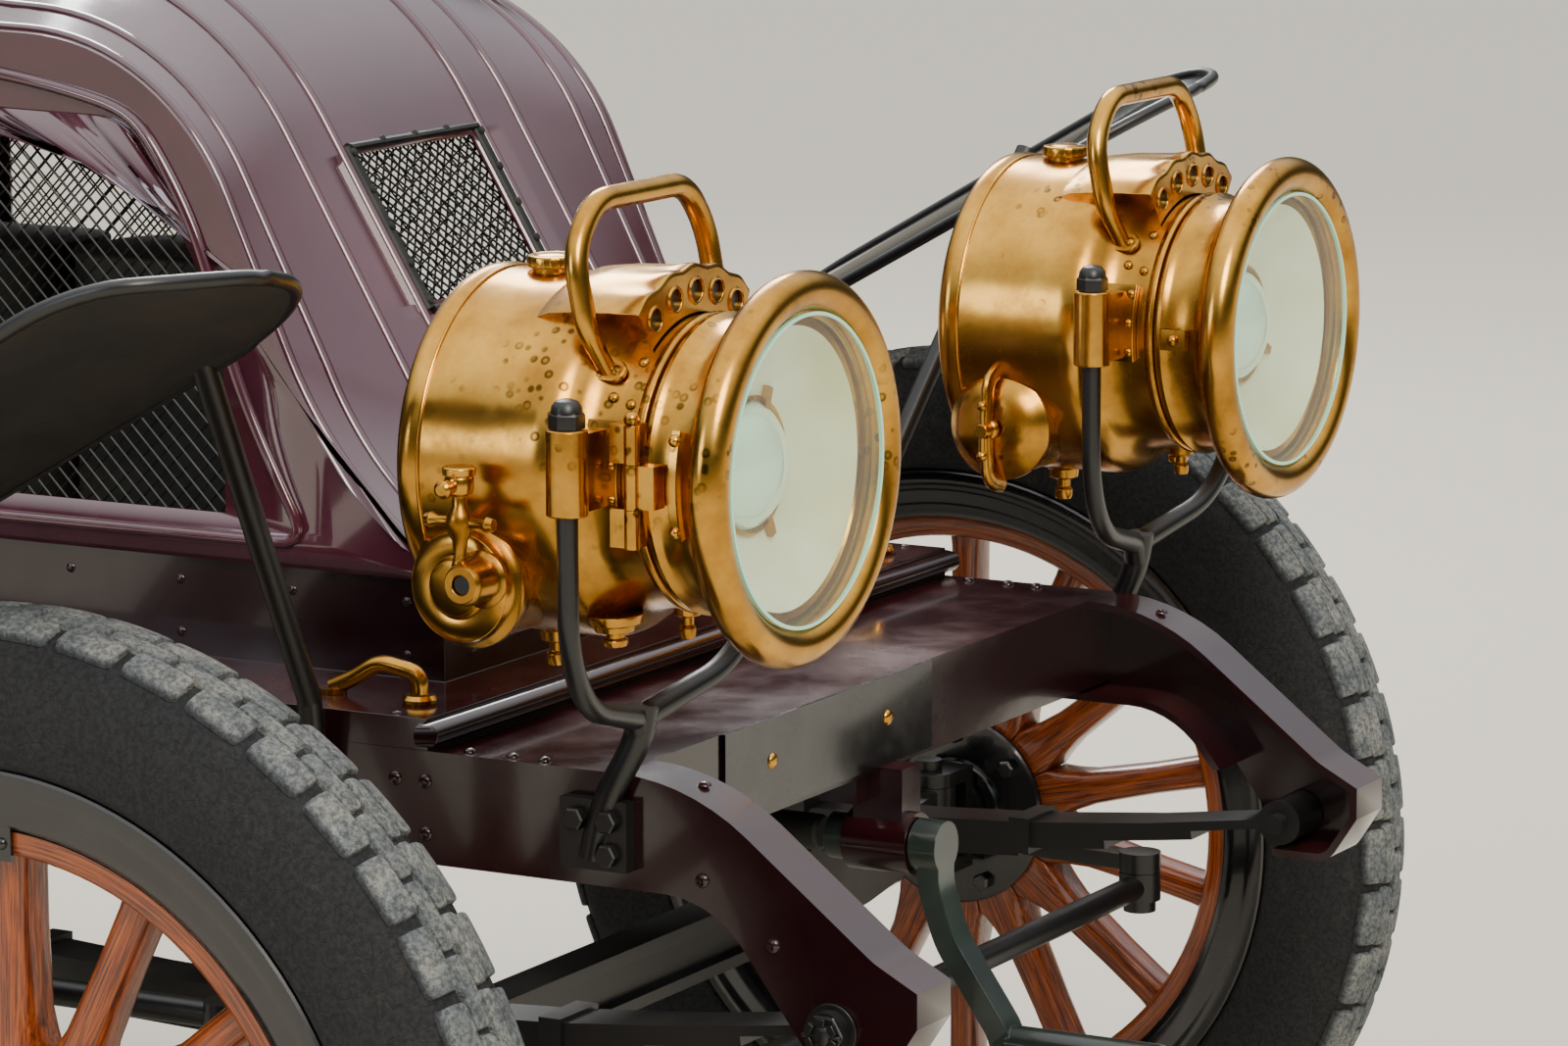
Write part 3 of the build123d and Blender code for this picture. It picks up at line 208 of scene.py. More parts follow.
# Tyres: black rubber, worn and dusty from a gravel drive.
# The carcass is one turned profile; the tread is four rows of moulded blocks with rounded corners that
# follow the crown, the inner rows narrowed at their ends.
def turned(profile, n=96, axis=0):
    """A profile of (along, radius) points carried round an axis: point (i, j) is profile i at angle j.
    Local values are along, radius and angle."""
    p = np.asarray(profile, float)
    a = np.radians(360.0 * np.arange(n) / n)
    along = np.repeat(p[:, :1], len(a), 1)
    c, s = p[:, 1:] * np.cos(a), p[:, 1:] * np.sin(a)
    v = np.stack({0: (along, c, s), 1: (s, along, c), 2: (c, s, along)}[axis], -1)
    local = np.stack([along, np.repeat(p[:, 1:], len(a), 1), np.repeat(a[None], len(p), 0)], -1)
    return v.reshape(-1, 3), quads(len(p), n, False, True), local.reshape(-1, 3)


def rod(start, end, r, n, axis=0):
    """A plain round bar between two places on an axis."""
    return turned([(start, 0), (start, r), (end, r), (end, 0)], n, axis)


def quads(m, n, loop_m, loop_n):
    """The faces of an m by n grid of points, closed round either way."""
    i, j = np.meshgrid(np.arange(m if loop_m else m - 1), np.arange(n if loop_n else n - 1), indexing="ij")
    next_i, next_j = (i + 1) % m, (j + 1) % n
    return np.stack([i * n + j, next_i * n + j, next_i * n + next_j, i * n + next_j], -1).reshape(-1, 4)


def joined(*shells):
    """Several (points, faces, local) shells as one."""
    points, faces, notes, start = [], [], [], 0
    for shell in shells:
        points.append(shell[0])
        notes.append(np.zeros_like(shell[0]) if shell[2] is None else shell[2])
        faces += [[int(i) + start for i in face] for face in shell[1]]
        start += len(shell[0])
    return np.concatenate(points), faces, np.concatenate(notes)


def moved(shell, by):
    """A shell shifted by (x, y, z)."""
    return shell[0] + np.asarray(by, float), shell[1], shell[2]


def other_side(shell):
    """The same shell mirrored to the other side of the car."""
    return shell[0] * [-1, 1, 1], [list(face)[::-1] for face in shell[1]], shell[2]


def both(shell):
    """A shell and its mirror image as one."""
    return joined(shell, other_side(shell))


def copies(shell, turns):
    """A shell repeated at angles about the X axis, in degrees."""
    v, f = shell[0], np.asarray(shell[1])
    a = np.radians(np.asarray(turns, float))[:, None]
    many = np.repeat(v[None], len(a), 0)
    many[..., 1] = v[:, 1] * np.cos(a) - v[:, 2] * np.sin(a)
    many[..., 2] = v[:, 1] * np.sin(a) + v[:, 2] * np.cos(a)
    local = np.zeros_like(v) if shell[2] is None else shell[2]
    faces = (f[None] + (np.arange(len(a)) * len(v))[:, None, None]).reshape(-1, f.shape[1])
    return many.reshape(-1, 3), faces, np.tile(local, (len(a), 1))


def piece(name, shell, body, finish, replaces=(), smooth=35.0, bevel=0.0, solid=None):
    """Makes one finished piece from a shell in millimetres: doubles merged, faces out, smooth but for sharp
    edges, with live modifiers where the form needs them."""
    v, f = shell[0], shell[1]
    mesh = bpy.data.meshes.new(name)
    mesh.from_pydata((np.asarray(v, float) * MM + [0, AXLE_Y, 0]).tolist(), [],
                     [list(map(int, q)) for q in f])
    if shell[2] is not None:
        note = mesh.attributes.new("local", "FLOAT_VECTOR", "POINT")
        note.data.foreach_set("vector", np.asarray(shell[2], np.float32).ravel())
    work = bmesh.new()
    work.from_mesh(mesh)
    bmesh.ops.remove_doubles(work, verts=work.verts, dist=MERGE)
    bmesh.ops.dissolve_degenerate(work, dist=1e-7, edges=work.edges)
    bmesh.ops.recalc_face_normals(work, faces=work.faces)
    work.to_mesh(mesh)
    work.free()
    mesh.polygons.foreach_set("use_smooth", np.ones(len(mesh.polygons), bool))
    mesh.set_sharp_from_angle(angle=math.radians(smooth))
    made = bpy.data.objects.new(name, mesh)
    bpy.context.scene.collection.objects.link(made)
    mesh.materials.append(finish)
    if solid is not None:
        wall = made.modifiers.new("wall", "SOLIDIFY")
        wall.thickness = solid * MM
        wall.offset = -1.0
    if bevel:
        edge = made.modifiers.new("edge", "BEVEL")
        edge.width = bevel * MM
        edge.segments = 2
        edge.limit_method = "ANGLE"
        edge.angle_limit = math.radians(32)
    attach(made, body)
    if replaces:
        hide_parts(*replaces)
    return made


TYRE_R, TYRE_W, RIM_R, FELLOE_R, SPOKES = 407.5, 105.0, 304.0, 261.0, 14
TRACK, BASE, AXLE_Z = 1410.0, 2800.0, 407.5
TREAD, BLOCKS = 5.0, 46


def crown(x, height):
    """The tread's radius at a distance x from the middle, height above the carcass."""
    return TYRE_R - TREAD + height - 5.5 * np.abs(x / 33.0) ** 2.6


def tread_row(middle, width, length, cut):
    """One tread block at the tyre's top, as rings from a skirt below the carcass to the block's middle.
    Half its width times |cos a|^k by half its length times |sin a|^k is a rectangle with rounded corners; cut
    takes that share off its width at the ends. The radius noted for the material is 8 mm up, so that the
    blocks read as worn and the grooves between them don't."""
    n, k = 20, 0.28
    a = np.linspace(0, 2 * np.pi, n, endpoint=False)
    c, s = np.cos(a), np.sin(a)
    x = np.sign(c) * np.abs(c) ** k * width / 2 * (1 - cut * np.abs(s) ** 8)
    t = np.sign(s) * np.abs(s) ** k * length / 2
    rows = []
    for scale, height in ((1.05, -1.5), (1.0, TREAD - 1.0), (0.94, TREAD), (0.45, TREAD + 0.2),
                          (0.0, TREAD + 0.2)):
        along = middle + x * scale
        r = crown(along, height)
        angle = t * scale / TYRE_R
        rows.append(np.stack([along, r * np.cos(angle), r * np.sin(angle)], -1))
    v = np.concatenate(rows)
    local = np.stack([v[:, 0], np.hypot(v[:, 1], v[:, 2]) + 8.0, np.full(len(v), 1.0)], -1)
    return v, quads(len(rows), n, False, True), local


def tyre_shell():
    """The carcass, a profile turned about the wheel's axis, with its four rows of tread blocks."""
    w = TYRE_W / 2
    outer = [(0, TYRE_R - TREAD), (12, TYRE_R - TREAD - 0.4), (24, TYRE_R - TREAD - 2.2),
             (33, TYRE_R - TREAD - 5.5), (40, TYRE_R - 17), (45, TYRE_R - 25), (w - 4, TYRE_R - 34),
             (w - 1.2, TYRE_R - 46), (w, TYRE_R - 60), (w - 1, TYRE_R - 72), (w - 4.5, TYRE_R - 84),
             (46.5, RIM_R + 8), (43.5, RIM_R + 3), (41, RIM_R + 1.5), (38.2, RIM_R - 1), (36.2, RIM_R - 14),
             (32.0, RIM_R - 27.5)]
    profile = [(-x, r) for x, r in reversed(outer[1:])] + outer
    shells = [turned(profile + [profile[0]], 120)]
    step = 360.0 / BLOCKS
    turns = step * np.arange(BLOCKS)
    for sign in (-1, 1):
        shells.append(copies(tread_row(sign * 28, 21, 46.5, 0.0), turns))
        shells.append(copies(tread_row(sign * 8.6, 15, 51, 0.15), turns + step * (0.25 + 0.25 * sign)))
    return joined(*shells)


rubber, tree, shader = material("worn_moulded_rubber", "#232325", 0.82, Specular_IOR_Level=0.35)
# Old moulded rubber: dark grey, chalky where it meets the road, thin brown dust in patches, fine cracks.
spot = node(tree, "TexCoord")
local = node(tree, "Attribute", attribute_name="local")
split = node(tree, "SeparateXYZ", links={0: local.outputs["Vector"]})
mud = noise(tree, 26.0, 9.0, 0.74)
grit = noise(tree, 260.0, 6.0, 0.7)
high_up = node(tree, "MapRange", {"From Min": 400.0, "From Max": 408.0}, {0: split.outputs[1]})
worn = node(tree, "Math", links={0: high_up.outputs[0], 1: mud.outputs["Fac"]}, operation="MULTIPLY")
tone = ramp(tree, worn.outputs[0], (0.0, "#1f2022"), (0.22, "#34373a"), (0.46, "#5a5f61"), (0.64, "#7c7d78"))
speck = ramp(tree, grit.outputs["Fac"], (0.42, 0.42), (0.58, 1.45))
mixed = node(tree, "Mix", {0: 0.75}, {6: tone.outputs[0], 7: speck.outputs[0]}, data_type="RGBA",
             blend_type="MULTIPLY")
dusty = ramp(tree, mud.outputs["Fac"], (0.56, 0.0), (0.80, 0.22))
tinted = node(tree, "Mix", {7: linear("#6a6152")}, {0: dusty.outputs[0], 6: mixed.outputs[2]},
              data_type="RGBA")
tree.links.new(tinted.outputs[2], shader.inputs["Base Color"])
crack = node(tree, "TexVoronoi", {"Scale": 90.0}, {"Vector": spot.outputs["Object"]},
             feature="DISTANCE_TO_EDGE")
edge_line = ramp(tree, crack.outputs["Distance"], (0.0, 0.0), (0.06, 1.0))
relief = node(tree, "Math", links={0: edge_line.outputs[0], 1: grit.outputs["Fac"]}, operation="MULTIPLY")
raised(tree, shader, relief.outputs[0], 0.55, 0.0016)

WHEELS = (("front_right", -1, 0.0), ("front_left", 1, 0.0), ("rear_right", -1, BASE), ("rear_left", 1, BASE))
tyre_form = tyre_shell()
for tag, sign, y in WHEELS:
    shell = tyre_form if sign > 0 else other_side(tyre_form)
    piece("tread_" + tag, moved(shell, (sign * TRACK / 2, y, AXLE_Z)), "wheel_" + tag, rubber,
          ["tyre_" + tag], smooth=38)


# Wheel wood: ash felloe and spokes, varnished orange brown.
# Each spoke is an oval section that grows into a wedge between the hub's flanges, so that the wedges close
# into a ring; the felloe is bent in two halves.
def spoke_shell():
    """A grid of sections along the radius, each a rounded rectangle: width and depth change with radius."""
    r = np.array([60, 84, 92, 100, 112, 130, 155, 190, 215, 232, 240, 246, 252.0])
    wedge = 2 * r * math.tan(math.pi / SPOKES) * 0.995
    width = np.where(r < 96, wedge, np.interp(r, [96, 112, 130, 190, 232, 252], [41, 35, 30.5, 27, 28.5, 33]))
    depth = np.interp(r, [60, 100, 130, 232, 252], [45, 45, 43, 38, 40])
    n = 24
    a = np.linspace(0, 2 * np.pi, n, endpoint=False)
    c, s = np.cos(a), np.sin(a)
    k = np.where(r < 96, 0.12, np.interp(r, [96, 130], [0.3, 0.72]))[:, None]
    x = np.sign(c) * np.abs(c) ** k * depth[:, None] / 2
    y = np.sign(s) * np.abs(s) ** k * width[:, None] / 2
    v = np.stack([x, y, np.repeat(r[:, None], n, 1)], -1)
    local = np.stack([x, y, v[..., 2]], -1)
    return v.reshape(-1, 3), quads(len(r), n, False, True), local.reshape(-1, 3)


def wood_shell():
    """The felloe, turned, and the spokes; the grain's local values differ from spoke to spoke."""
    outer = FELLOE_R - 0.3
    profile = [(-28, outer), (32, outer), (32, outer - 12), (30.5, outer - 15.5), (27, outer - 17.5),
               (20, outer - 18), (-17, outer - 18), (-24, outer - 17.5), (-27, outer - 15),
               (-28, outer - 12), (-28, outer)]
    ring = turned(profile, 112)
    bent_local = np.stack([ring[2][:, 0], ring[2][:, 1] - outer, ring[2][:, 2] * outer], -1)
    ring = (ring[0], ring[1], bent_local)
    one = spoke_shell()
    sets = []
    for i in range(SPOKES):
        turned_one = copies(one, [360.0 * i / SPOKES])
        sets.append((turned_one[0], turned_one[1], turned_one[2] + [37.0 * i, 91.0 * i, 300.0 * i]))
    return joined(ring, *sets)


ash, tree, shader = material("varnished_bent_ash", "#a4521c", 0.33, Coat_Weight=0.6, Coat_Roughness=0.12)
# Varnished ash: orange brown with long dark grain lines about 1.5 mm apart along each spoke, under a thick
# yellowed varnish.
local = node(tree, "Attribute", attribute_name="local")
along = node(tree, "Mapping", {"Scale": (0.16, 0.30, 0.008)}, {"Vector": local.outputs["Vector"]})
grain = node(tree, "TexNoise", {"Scale": 2.2, "Detail": 8.0, "Roughness": 0.62, "Distortion": 0.5},
             {"Vector": along.outputs[0]})
fine = node(tree, "Mapping", {"Scale": (0.9, 1.5, 0.02)}, {"Vector": local.outputs["Vector"]})
pores = node(tree, "TexNoise", {"Scale": 1.6, "Detail": 5.0, "Roughness": 0.7}, {"Vector": fine.outputs[0]})
tone = ramp(tree, grain.outputs["Fac"], (0.32, "#2c1103"), (0.45, "#702c06"), (0.58, "#a04b0b"),
            (0.76, "#c06c1a"))
dark = ramp(tree, pores.outputs["Fac"], (0.36, 0.35), (0.52, 1.0))
mixed = node(tree, "Mix", {0: 0.8}, {6: tone.outputs[0], 7: dark.outputs[0]}, data_type="RGBA",
             blend_type="MULTIPLY")
tree.links.new(mixed.outputs[2], shader.inputs["Base Color"])
raised(tree, shader, pores.outputs["Fac"], 0.25, 0.0006)

wood_form = wood_shell()
for tag, sign, y in WHEELS:
    shell = wood_form if sign > 0 else other_side(wood_form)
    piece("spokes_" + tag, moved(shell, (sign * TRACK / 2, y, AXLE_Z)), "wheel_" + tag, ash,
          ["wood_" + tag], smooth=42)


# Wheel steel: rolled clincher rim, pressed hub flanges, nuts, hub cap and the felloe's two joint plates.
# All stove enamelled black; seven bolts clamp the spokes' wedges between the flanges.
def hex_nut(r, height, at):
    """A nut with its corners turned off, standing along +X from a point."""
    profile = [(0, 0), (0, r), (height * 0.82, r), (height, r * 0.86), (height, 0)]
    return moved(turned(profile, 6), at)


def dome(r, height, at, n=14):
    """A round rivet head standing along +X from a point."""
    a = np.linspace(0, np.pi / 2, 5)
    profile = [(0.0, 0.0)] + [(height * math.sin(t), r * math.cos(t)) for t in a]
    return moved(turned(profile, n), at)


def slab(x0, x1, y0, y1, z0, z1):
    """A block from its six faces."""
    x, y, z = (x0 + x1) / 2, (y0 + y1) / 2, (z0 + z1) / 2
    c = np.array([[i, j, k] for i in (-1, 1) for j in (-1, 1) for k in (-1, 1)], float)
    v = c * [abs(x1 - x0) / 2, abs(y1 - y0) / 2, abs(z1 - z0) / 2] + [x, y, z]
    return v, np.array([[0, 1, 3, 2], [4, 6, 7, 5], [0, 4, 5, 1], [2, 3, 7, 6], [0, 2, 6, 4],
                        [1, 5, 7, 3]]), None


def steel_shell(rear):
    """A wheel's rim and hub, turned, with seven bolts, two joint plates and, on rear wheels, a brake drum."""
    half = [(29.5, FELLOE_R), (34, FELLOE_R + 1.5), (38, FELLOE_R + 7), (40, FELLOE_R + 15),
            (40.8, FELLOE_R + 24), (41.8, FELLOE_R + 28), (43.2, FELLOE_R + 31), (43.5, RIM_R - 6),
            (43.4, RIM_R - 2), (42, RIM_R - 0.3), (40, RIM_R), (38.9, RIM_R - 1.6), (38.6, RIM_R - 5),
            (37, RIM_R - 14), (33, RIM_R - 28)]
    rim = turned(half + [(-x, r) for x, r in reversed(half)] + [half[0]], 120)
    hub = [(-36, 0), (-36, 44), (-34, 46), (-30, 47), (-30, 82), (-28.5, 84), (-24, 84), (-22.6, 83),
           (-22.6, 40), (22.6, 40), (22.6, 83), (24, 84), (28.5, 84), (30, 82), (30, 54), (33, 51),
           (44, 48.5), (60, 46.5), (63, 47.5), (65, 50), (67, 50.5), (72, 49.8), (88, 47.2), (92, 44.5),
           (94.4, 40), (95, 34), (95, 0)]
    shells = [rim, turned(hub, 72)]
    bolts = 360.0 / 7 * np.arange(7)
    shells.append(copies(hex_nut(8.5, 8.5, (30, 0, 68)), bolts))
    shells.append(copies(dome(6.5, 5, (38, 0, 68)), bolts))
    inner = turned([(-30, 0), (-30, 8), (-37, 8), (-38.5, 6), (-38.5, 0)], 6)
    shells.append(copies(moved(inner, (0, 0, 68)), bolts))
    shells.append(copies(slab(32, 35.5, -17, 17, FELLOE_R - 21, FELLOE_R + 6), (0, 180)))
    for across in (-9.5, 9.5):
        shells.append(copies(dome(4.5, 3.2, (35.5, across, FELLOE_R - 9)), (0, 180)))
    if rear:
        shells.append(turned([(-95, 141), (-95, 150), (-93, 151), (-60, 151), (-34, 151), (-31, 149),
                              (-30.5, 143), (-30.2, 84), (-34, 84), (-36, 141)], 84))
    return joined(*shells)


enamel, tree, shader = material("stoved_black_enamel", "#0b0b0d", 0.22, Coat_Weight=0.5, Coat_Roughness=0.08)
# Black stoving enamel: glossy, with a film of road dust and a few dull patches.
film = noise(tree, 9.0, 8.0, 0.7)
dust = ramp(tree, film.outputs["Fac"], (0.44, "#0b0b0d"), (0.62, "#17161a"), (0.80, "#2b2724"))
tree.links.new(dust.outputs[0], shader.inputs["Base Color"])
dull = ramp(tree, film.outputs["Fac"], (0.40, 0.16), (0.75, 0.42))
tree.links.new(dull.outputs[0], shader.inputs["Roughness"])
ripple = noise(tree, 60.0, 3.0)
raised(tree, shader, ripple.outputs["Fac"], 0.08, 0.001)

for tag, sign, y in WHEELS:
    form = steel_shell(y == BASE)
    shell = form if sign > 0 else other_side(form)
    piece("rim_hub_" + tag, moved(shell, (sign * TRACK / 2, y, AXLE_Z)), "wheel_" + tag, enamel,
          ["rim_" + tag], smooth=34)


# Forged and rolled ironwork that keeps its CAD form: axles, springs, engine, floor and the rest.
# Each is a merged copy of its solid with a small bevel, so that its edges catch the light as real ones do.
def dressed(name, source, body, finish, bevel=1.2, smooth=35.0, extra=None):
    """A copy of a CAD node's mesh, doubles merged, edges bevelled, with any extra shells added to it."""
    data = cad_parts[source].data
    v = np.empty(len(data.vertices) * 3)
    data.vertices.foreach_get("co", v)
    v = (v.reshape(-1, 3) - [0, AXLE_Y, 0]) / MM
    work = bmesh.new()
    mesh = bpy.data.meshes.new("scratch")
    mesh.from_pydata(v.tolist(), [], [list(p.vertices) for p in data.polygons])
    work.from_mesh(mesh)
    bmesh.ops.remove_doubles(work, verts=work.verts, dist=0.02)
    bmesh.ops.dissolve_limit(work, angle_limit=math.radians(1.0), verts=work.verts, edges=work.edges)
    work.to_mesh(mesh)
    work.free()
    v = np.empty(len(mesh.vertices) * 3)
    mesh.vertices.foreach_get("co", v)
    v = v.reshape(-1, 3)
    shell = (v, [list(p.vertices) for p in mesh.polygons], v.copy())
    bpy.data.meshes.remove(mesh)
    if extra is not None:
        shell = joined(shell, extra)
    return piece(name, shell, body, finish, [source], smooth=smooth, bevel=bevel)


iron, tree, shader = material("black_painted_iron", "#0d0d0e", 0.38, Coat_Weight=0.15, Coat_Roughness=0.25)
# Brush painted forgings: near black, slightly rippled, with grey dust on faces that look up.
film = noise(tree, 12.0, 8.0, 0.7)
lift = upward(tree, film)
tone = ramp(tree, lift.outputs[0], (0.0, "#0c0c0d"), (0.35, "#141415"), (0.62, "#2e2c2a"))
tree.links.new(tone.outputs[0], shader.inputs["Base Color"])
ripple = noise(tree, 90.0, 4.0)
raised(tree, shader, ripple.outputs["Fac"], 0.18, 0.001)

oxblood, tree, shader = material("oxblood_coach_enamel", "#24070c", 0.20, Coat_Weight=0.35,
                                 Coat_Roughness=0.07)
# Frame paint: very dark oxblood, thick and glossy, brown dust lying on its flat tops.
film = noise(tree, 7.0, 9.0, 0.66)
lift = upward(tree, film)
tone = ramp(tree, lift.outputs[0], (0.0, "#1c060a"), (0.40, "#2b0a10"), (0.70, "#4a2422"))
tree.links.new(tone.outputs[0], shader.inputs["Base Color"])
dull = ramp(tree, film.outputs["Fac"], (0.40, 0.14), (0.75, 0.34))
tree.links.new(dull.outputs[0], shader.inputs["Roughness"])
ripple = noise(tree, 45.0, 3.0)
raised(tree, shader, ripple.outputs["Fac"], 0.10, 0.001)

cast, tree, shader = material("sand_cast_iron", "#2c2e2b", 0.62, 0.35)
# Sand castings: grey green, oily, with the sand's own pebbled face, about 2 mm a grain.
sand = noise(tree, 420.0, 4.0, 0.6)
oil = noise(tree, 8.0, 7.0, 0.65)
tone = ramp(tree, oil.outputs["Fac"], (0.35, "#151513"), (0.55, "#2e312c"), (0.75, "#4a4b41"))
tree.links.new(tone.outputs[0], shader.inputs["Base Color"])
raised(tree, shader, sand.outputs["Fac"], 0.5, 0.0008)

boards, tree, shader = material("ash_floor_boards", "#6e4f32", 0.6)
# Plain ash boards across the car, 240 mm wide with dark joints, oiled and walked on.
spot = node(tree, "TexCoord")
across = node(tree, "Mapping", {"Scale": (3.0, 45.0, 45.0)}, {"Vector": spot.outputs["Object"]})
grain = node(tree, "TexNoise", {"Scale": 1.4, "Detail": 8.0, "Roughness": 0.6}, {"Vector": across.outputs[0]})
tone = ramp(tree, grain.outputs["Fac"], (0.32, "#3a2616"), (0.52, "#6b4a2c"), (0.72, "#8a6a45"))
rows = node(tree, "SeparateXYZ", links={0: spot.outputs["Object"]})
row = node(tree, "Math", {1: 0.12}, {0: rows.outputs[1]}, operation="PINGPONG")
joint = ramp(tree, row.outputs[0], (0.0, 0.12), (0.0035, 1.0))
mixed = node(tree, "Mix", {0: 1.0}, {6: tone.outputs[0], 7: joint.outputs[0]}, data_type="RGBA",
             blend_type="MULTIPLY")
tree.links.new(mixed.outputs[2], shader.inputs["Base Color"])

for name, source, finish, slot_name, bevel in (
        ("front_springs_leaves", "front_springs", iron, "spring_steel", 0.8),
        ("rear_springs_leaves", "rear_springs", iron, "spring_steel", 0.8),
        ("rear_axle_casing", "rear_axle", iron, "axle_black", 1.5),
        ("front_axle_beam", "front_axle", iron, "axle_black", 2.0),
        ("engine_block", "engine", cast, "engine_iron", 3.0),
        ("gearbox_shaft", "gearbox", cast, "engine_iron", 3.0),
        ("exhaust_pipe", "exhaust", cast, "exhaust_iron", 0.0),
        ("floor_boards", "floor", boards, "floor_wood", 1.0),
        ("hand_levers", "levers", iron, "iron_black", 0.0),
        ("running_boards_steps", "running_boards", iron, "wing_black", 1.5)):
    dressed(name, source, "chassis", finish, bevel)
for name, source, body in (("knuckle_right_forging", "knuckle_right", "knuckle_right"),
                           ("knuckle_left_forging", "knuckle_left", "knuckle_left"),
                           ("tie_rod_bar", "tie_rod", "tie_rod"),
                           ("drop_arm_forging", "drop_arm", "drop_arm"),
                           ("drag_link_bar", "drag_link", "drag_link")):
    dressed(name, source, body, iron, 1.0)


# Frame: pressed steel channel rails that run out into the curved dumb irons.
# Dark oxblood enamel over hot rivets; castle nuts with split pins hold the spring eyes.
def turned_to(shell, axis):
    """A shell drawn along +X, laid along another axis: 'x', '-x', 'y', '-y', 'z' or '-z'."""
    v = shell[0]
    x, y, z = v[:, 0], v[:, 1], v[:, 2]
    spun = {"x": (x, y, z), "-x": (-x, -y, z), "y": (-y, x, z), "-y": (y, -x, z), "z": (-z, y, x),
            "-z": (z, y, -x)}
    return np.stack(spun[axis], -1), shell[1], shell[2]


def heads(places, r=5.5, height=3.4, axis="x", kind=dome):
    """Rivet heads or nuts at many places, all standing along one axis."""
    one = turned_to(kind(r, height, (0, 0, 0)), axis)
    v, f = one[0], np.asarray(one[1])
    places = np.asarray(places, float)
    many = (v[None] + places[:, None]).reshape(-1, 3)
    faces = (f[None] + (np.arange(len(places)) * len(v))[:, None, None]).reshape(-1, f.shape[1])
    return many, faces, None


def castle_nut(at, r=17.0):
    """A slotted nut with its washer and split pin, along +X."""
    washer = rod(0, 2, r + 4, 32)
    nut_body = hex_nut(r, 11, (2, 0, 0))
    teeth = copies(slab(12.5, 18, -3.6, 3.6, 7.5, r - 3.5), 60.0 * np.arange(6))
    stud = dome(8, 3, (15, 0, 0))
    pin = moved(turned_to(rod(-15, 15, 1.6, 8), "y"), (15.5, 0, 0))
    return moved(joined(washer, nut_body, teeth, stud, pin), at)


RAIL_X, RAIL_TOP, TRAY_TOP = 400.0, 672.0, 695.0
SPRING_X, EYE_Y, EYE_Z, REAR_EYE_Z = 370.0, 458.0, 508.0, 532.0
rivet_rows = [(RAIL_X, y, z) for y, z in ((-412, 563), (-356, 603))]
rivet_rows += [(RAIL_X, y, z) for y in (-130, -105, 1066, 1092, 1756, 1782, 2466, 2492, 3222, 3248)
               for z in (612, 650)]
rivet_rows += [(RAIL_X, y + d, 602) for y in (478, BASE - EYE_Y, BASE + 478) for d in (-18, 18)]
frame_extra = joined(both(heads(rivet_rows)),
                     both(heads([(388, y, RAIL_TOP + 0.2) for y in (-222, -196, -160)], 5, 3, "z")),
                     both(heads([(372, -342, 663.6)], 5, 3, "z")))
dressed("frame_rails", "frame", "chassis", oxblood, 1.6, 35, frame_extra)
clip_nuts = [(SPRING_X + s * 28.5, y + t * 23, z) for y, z in ((0, 484), (BASE, 504)) for s in (-1, 1)
             for t in (-1, 1)]
eye_nuts = [(SPRING_X + 41.2, y, z) for y, z in ((EYE_Y, EYE_Z), (478, 570), (BASE - EYE_Y, REAR_EYE_Z),
                                                 (BASE + EYE_Y, REAR_EYE_Z), (BASE + 478, 570))]
nuts = joined(both(castle_nut((RAIL_X + 0.4, -EYE_Y, EYE_Z), 16)),
              both(heads(clip_nuts, 9.5, 9, "z", hex_nut)), both(heads(eye_nuts, 13, 9, "x", hex_nut)))
piece("chassis_nuts", nuts, "chassis", iron, smooth=30, bevel=0.5)


# Tray and bonnet sill: a flat steel deck on the frame with a rolled front edge, and the sill the bonnet
# rests on, held by small round-headed screws. A bent brass tube makes the bonnet's catch on each side.
def tube(path, r, n=12, loop=False, flat=1.0):
    """A round bar along a path; its section is carried along without twisting. flat thins it one way."""
    p = np.asarray(path, float)
    r = np.broadcast_to(np.asarray(r, float), (len(p),))
    step = np.roll(p, -1, 0) - np.roll(p, 1, 0) if loop else np.gradient(p, axis=0)
    t = step / np.linalg.norm(step, axis=1)[:, None]
    across = np.cross(t[0], [0.0, 0.0, 1.0])
    if np.linalg.norm(across) < 0.05:
        across = np.cross(t[0], [0.0, 1.0, 0.0])
    sides = []
    for ahead in t:
        across = across - ahead * (across @ ahead)
        across = across / np.linalg.norm(across)
        sides.append(across)
    u = np.array(sides)
    w = np.cross(t, u)
    a = np.linspace(0, 2 * np.pi, n, endpoint=False)
    v = u[:, None] * np.cos(a)[None, :, None] + w[:, None] * np.sin(a)[None, :, None] * flat
    v = p[:, None] + v * r[:, None, None]
    if not loop:
        v = np.concatenate([np.repeat(p[None, :1], n, 1), v, np.repeat(p[None, -1:], n, 1)])
    return v.reshape(-1, 3), quads(len(v), n, loop, True), None


def curve(points, n):
    """A smooth line through points as n stations: a natural cubic spline over the chord length."""
    p = np.asarray(points, float)
    s = np.r_[0, np.cumsum(np.linalg.norm(np.diff(p, axis=0), axis=1))]
    h = np.diff(s)
    m, rhs = np.eye(len(p)), np.zeros_like(p)
    for i in range(1, len(p) - 1):
        m[i, i - 1:i + 2] = h[i - 1], 2 * (h[i - 1] + h[i]), h[i]
        rhs[i] = 6 * ((p[i + 1] - p[i]) / h[i] - (p[i] - p[i - 1]) / h[i - 1])
    k = np.linalg.solve(m, rhs)
    t = np.linspace(0, s[-1], n)
    j = np.clip(np.searchsorted(s, t, side="right") - 1, 0, len(h) - 1)
    b = ((t - s[j]) / h[j])[:, None]
    a, hj = 1 - b, h[j][:, None]
    return a * p[j] + b * p[j + 1] + ((a ** 3 - a) * k[j] + (b ** 3 - b) * k[j + 1]) * hj ** 2 / 6


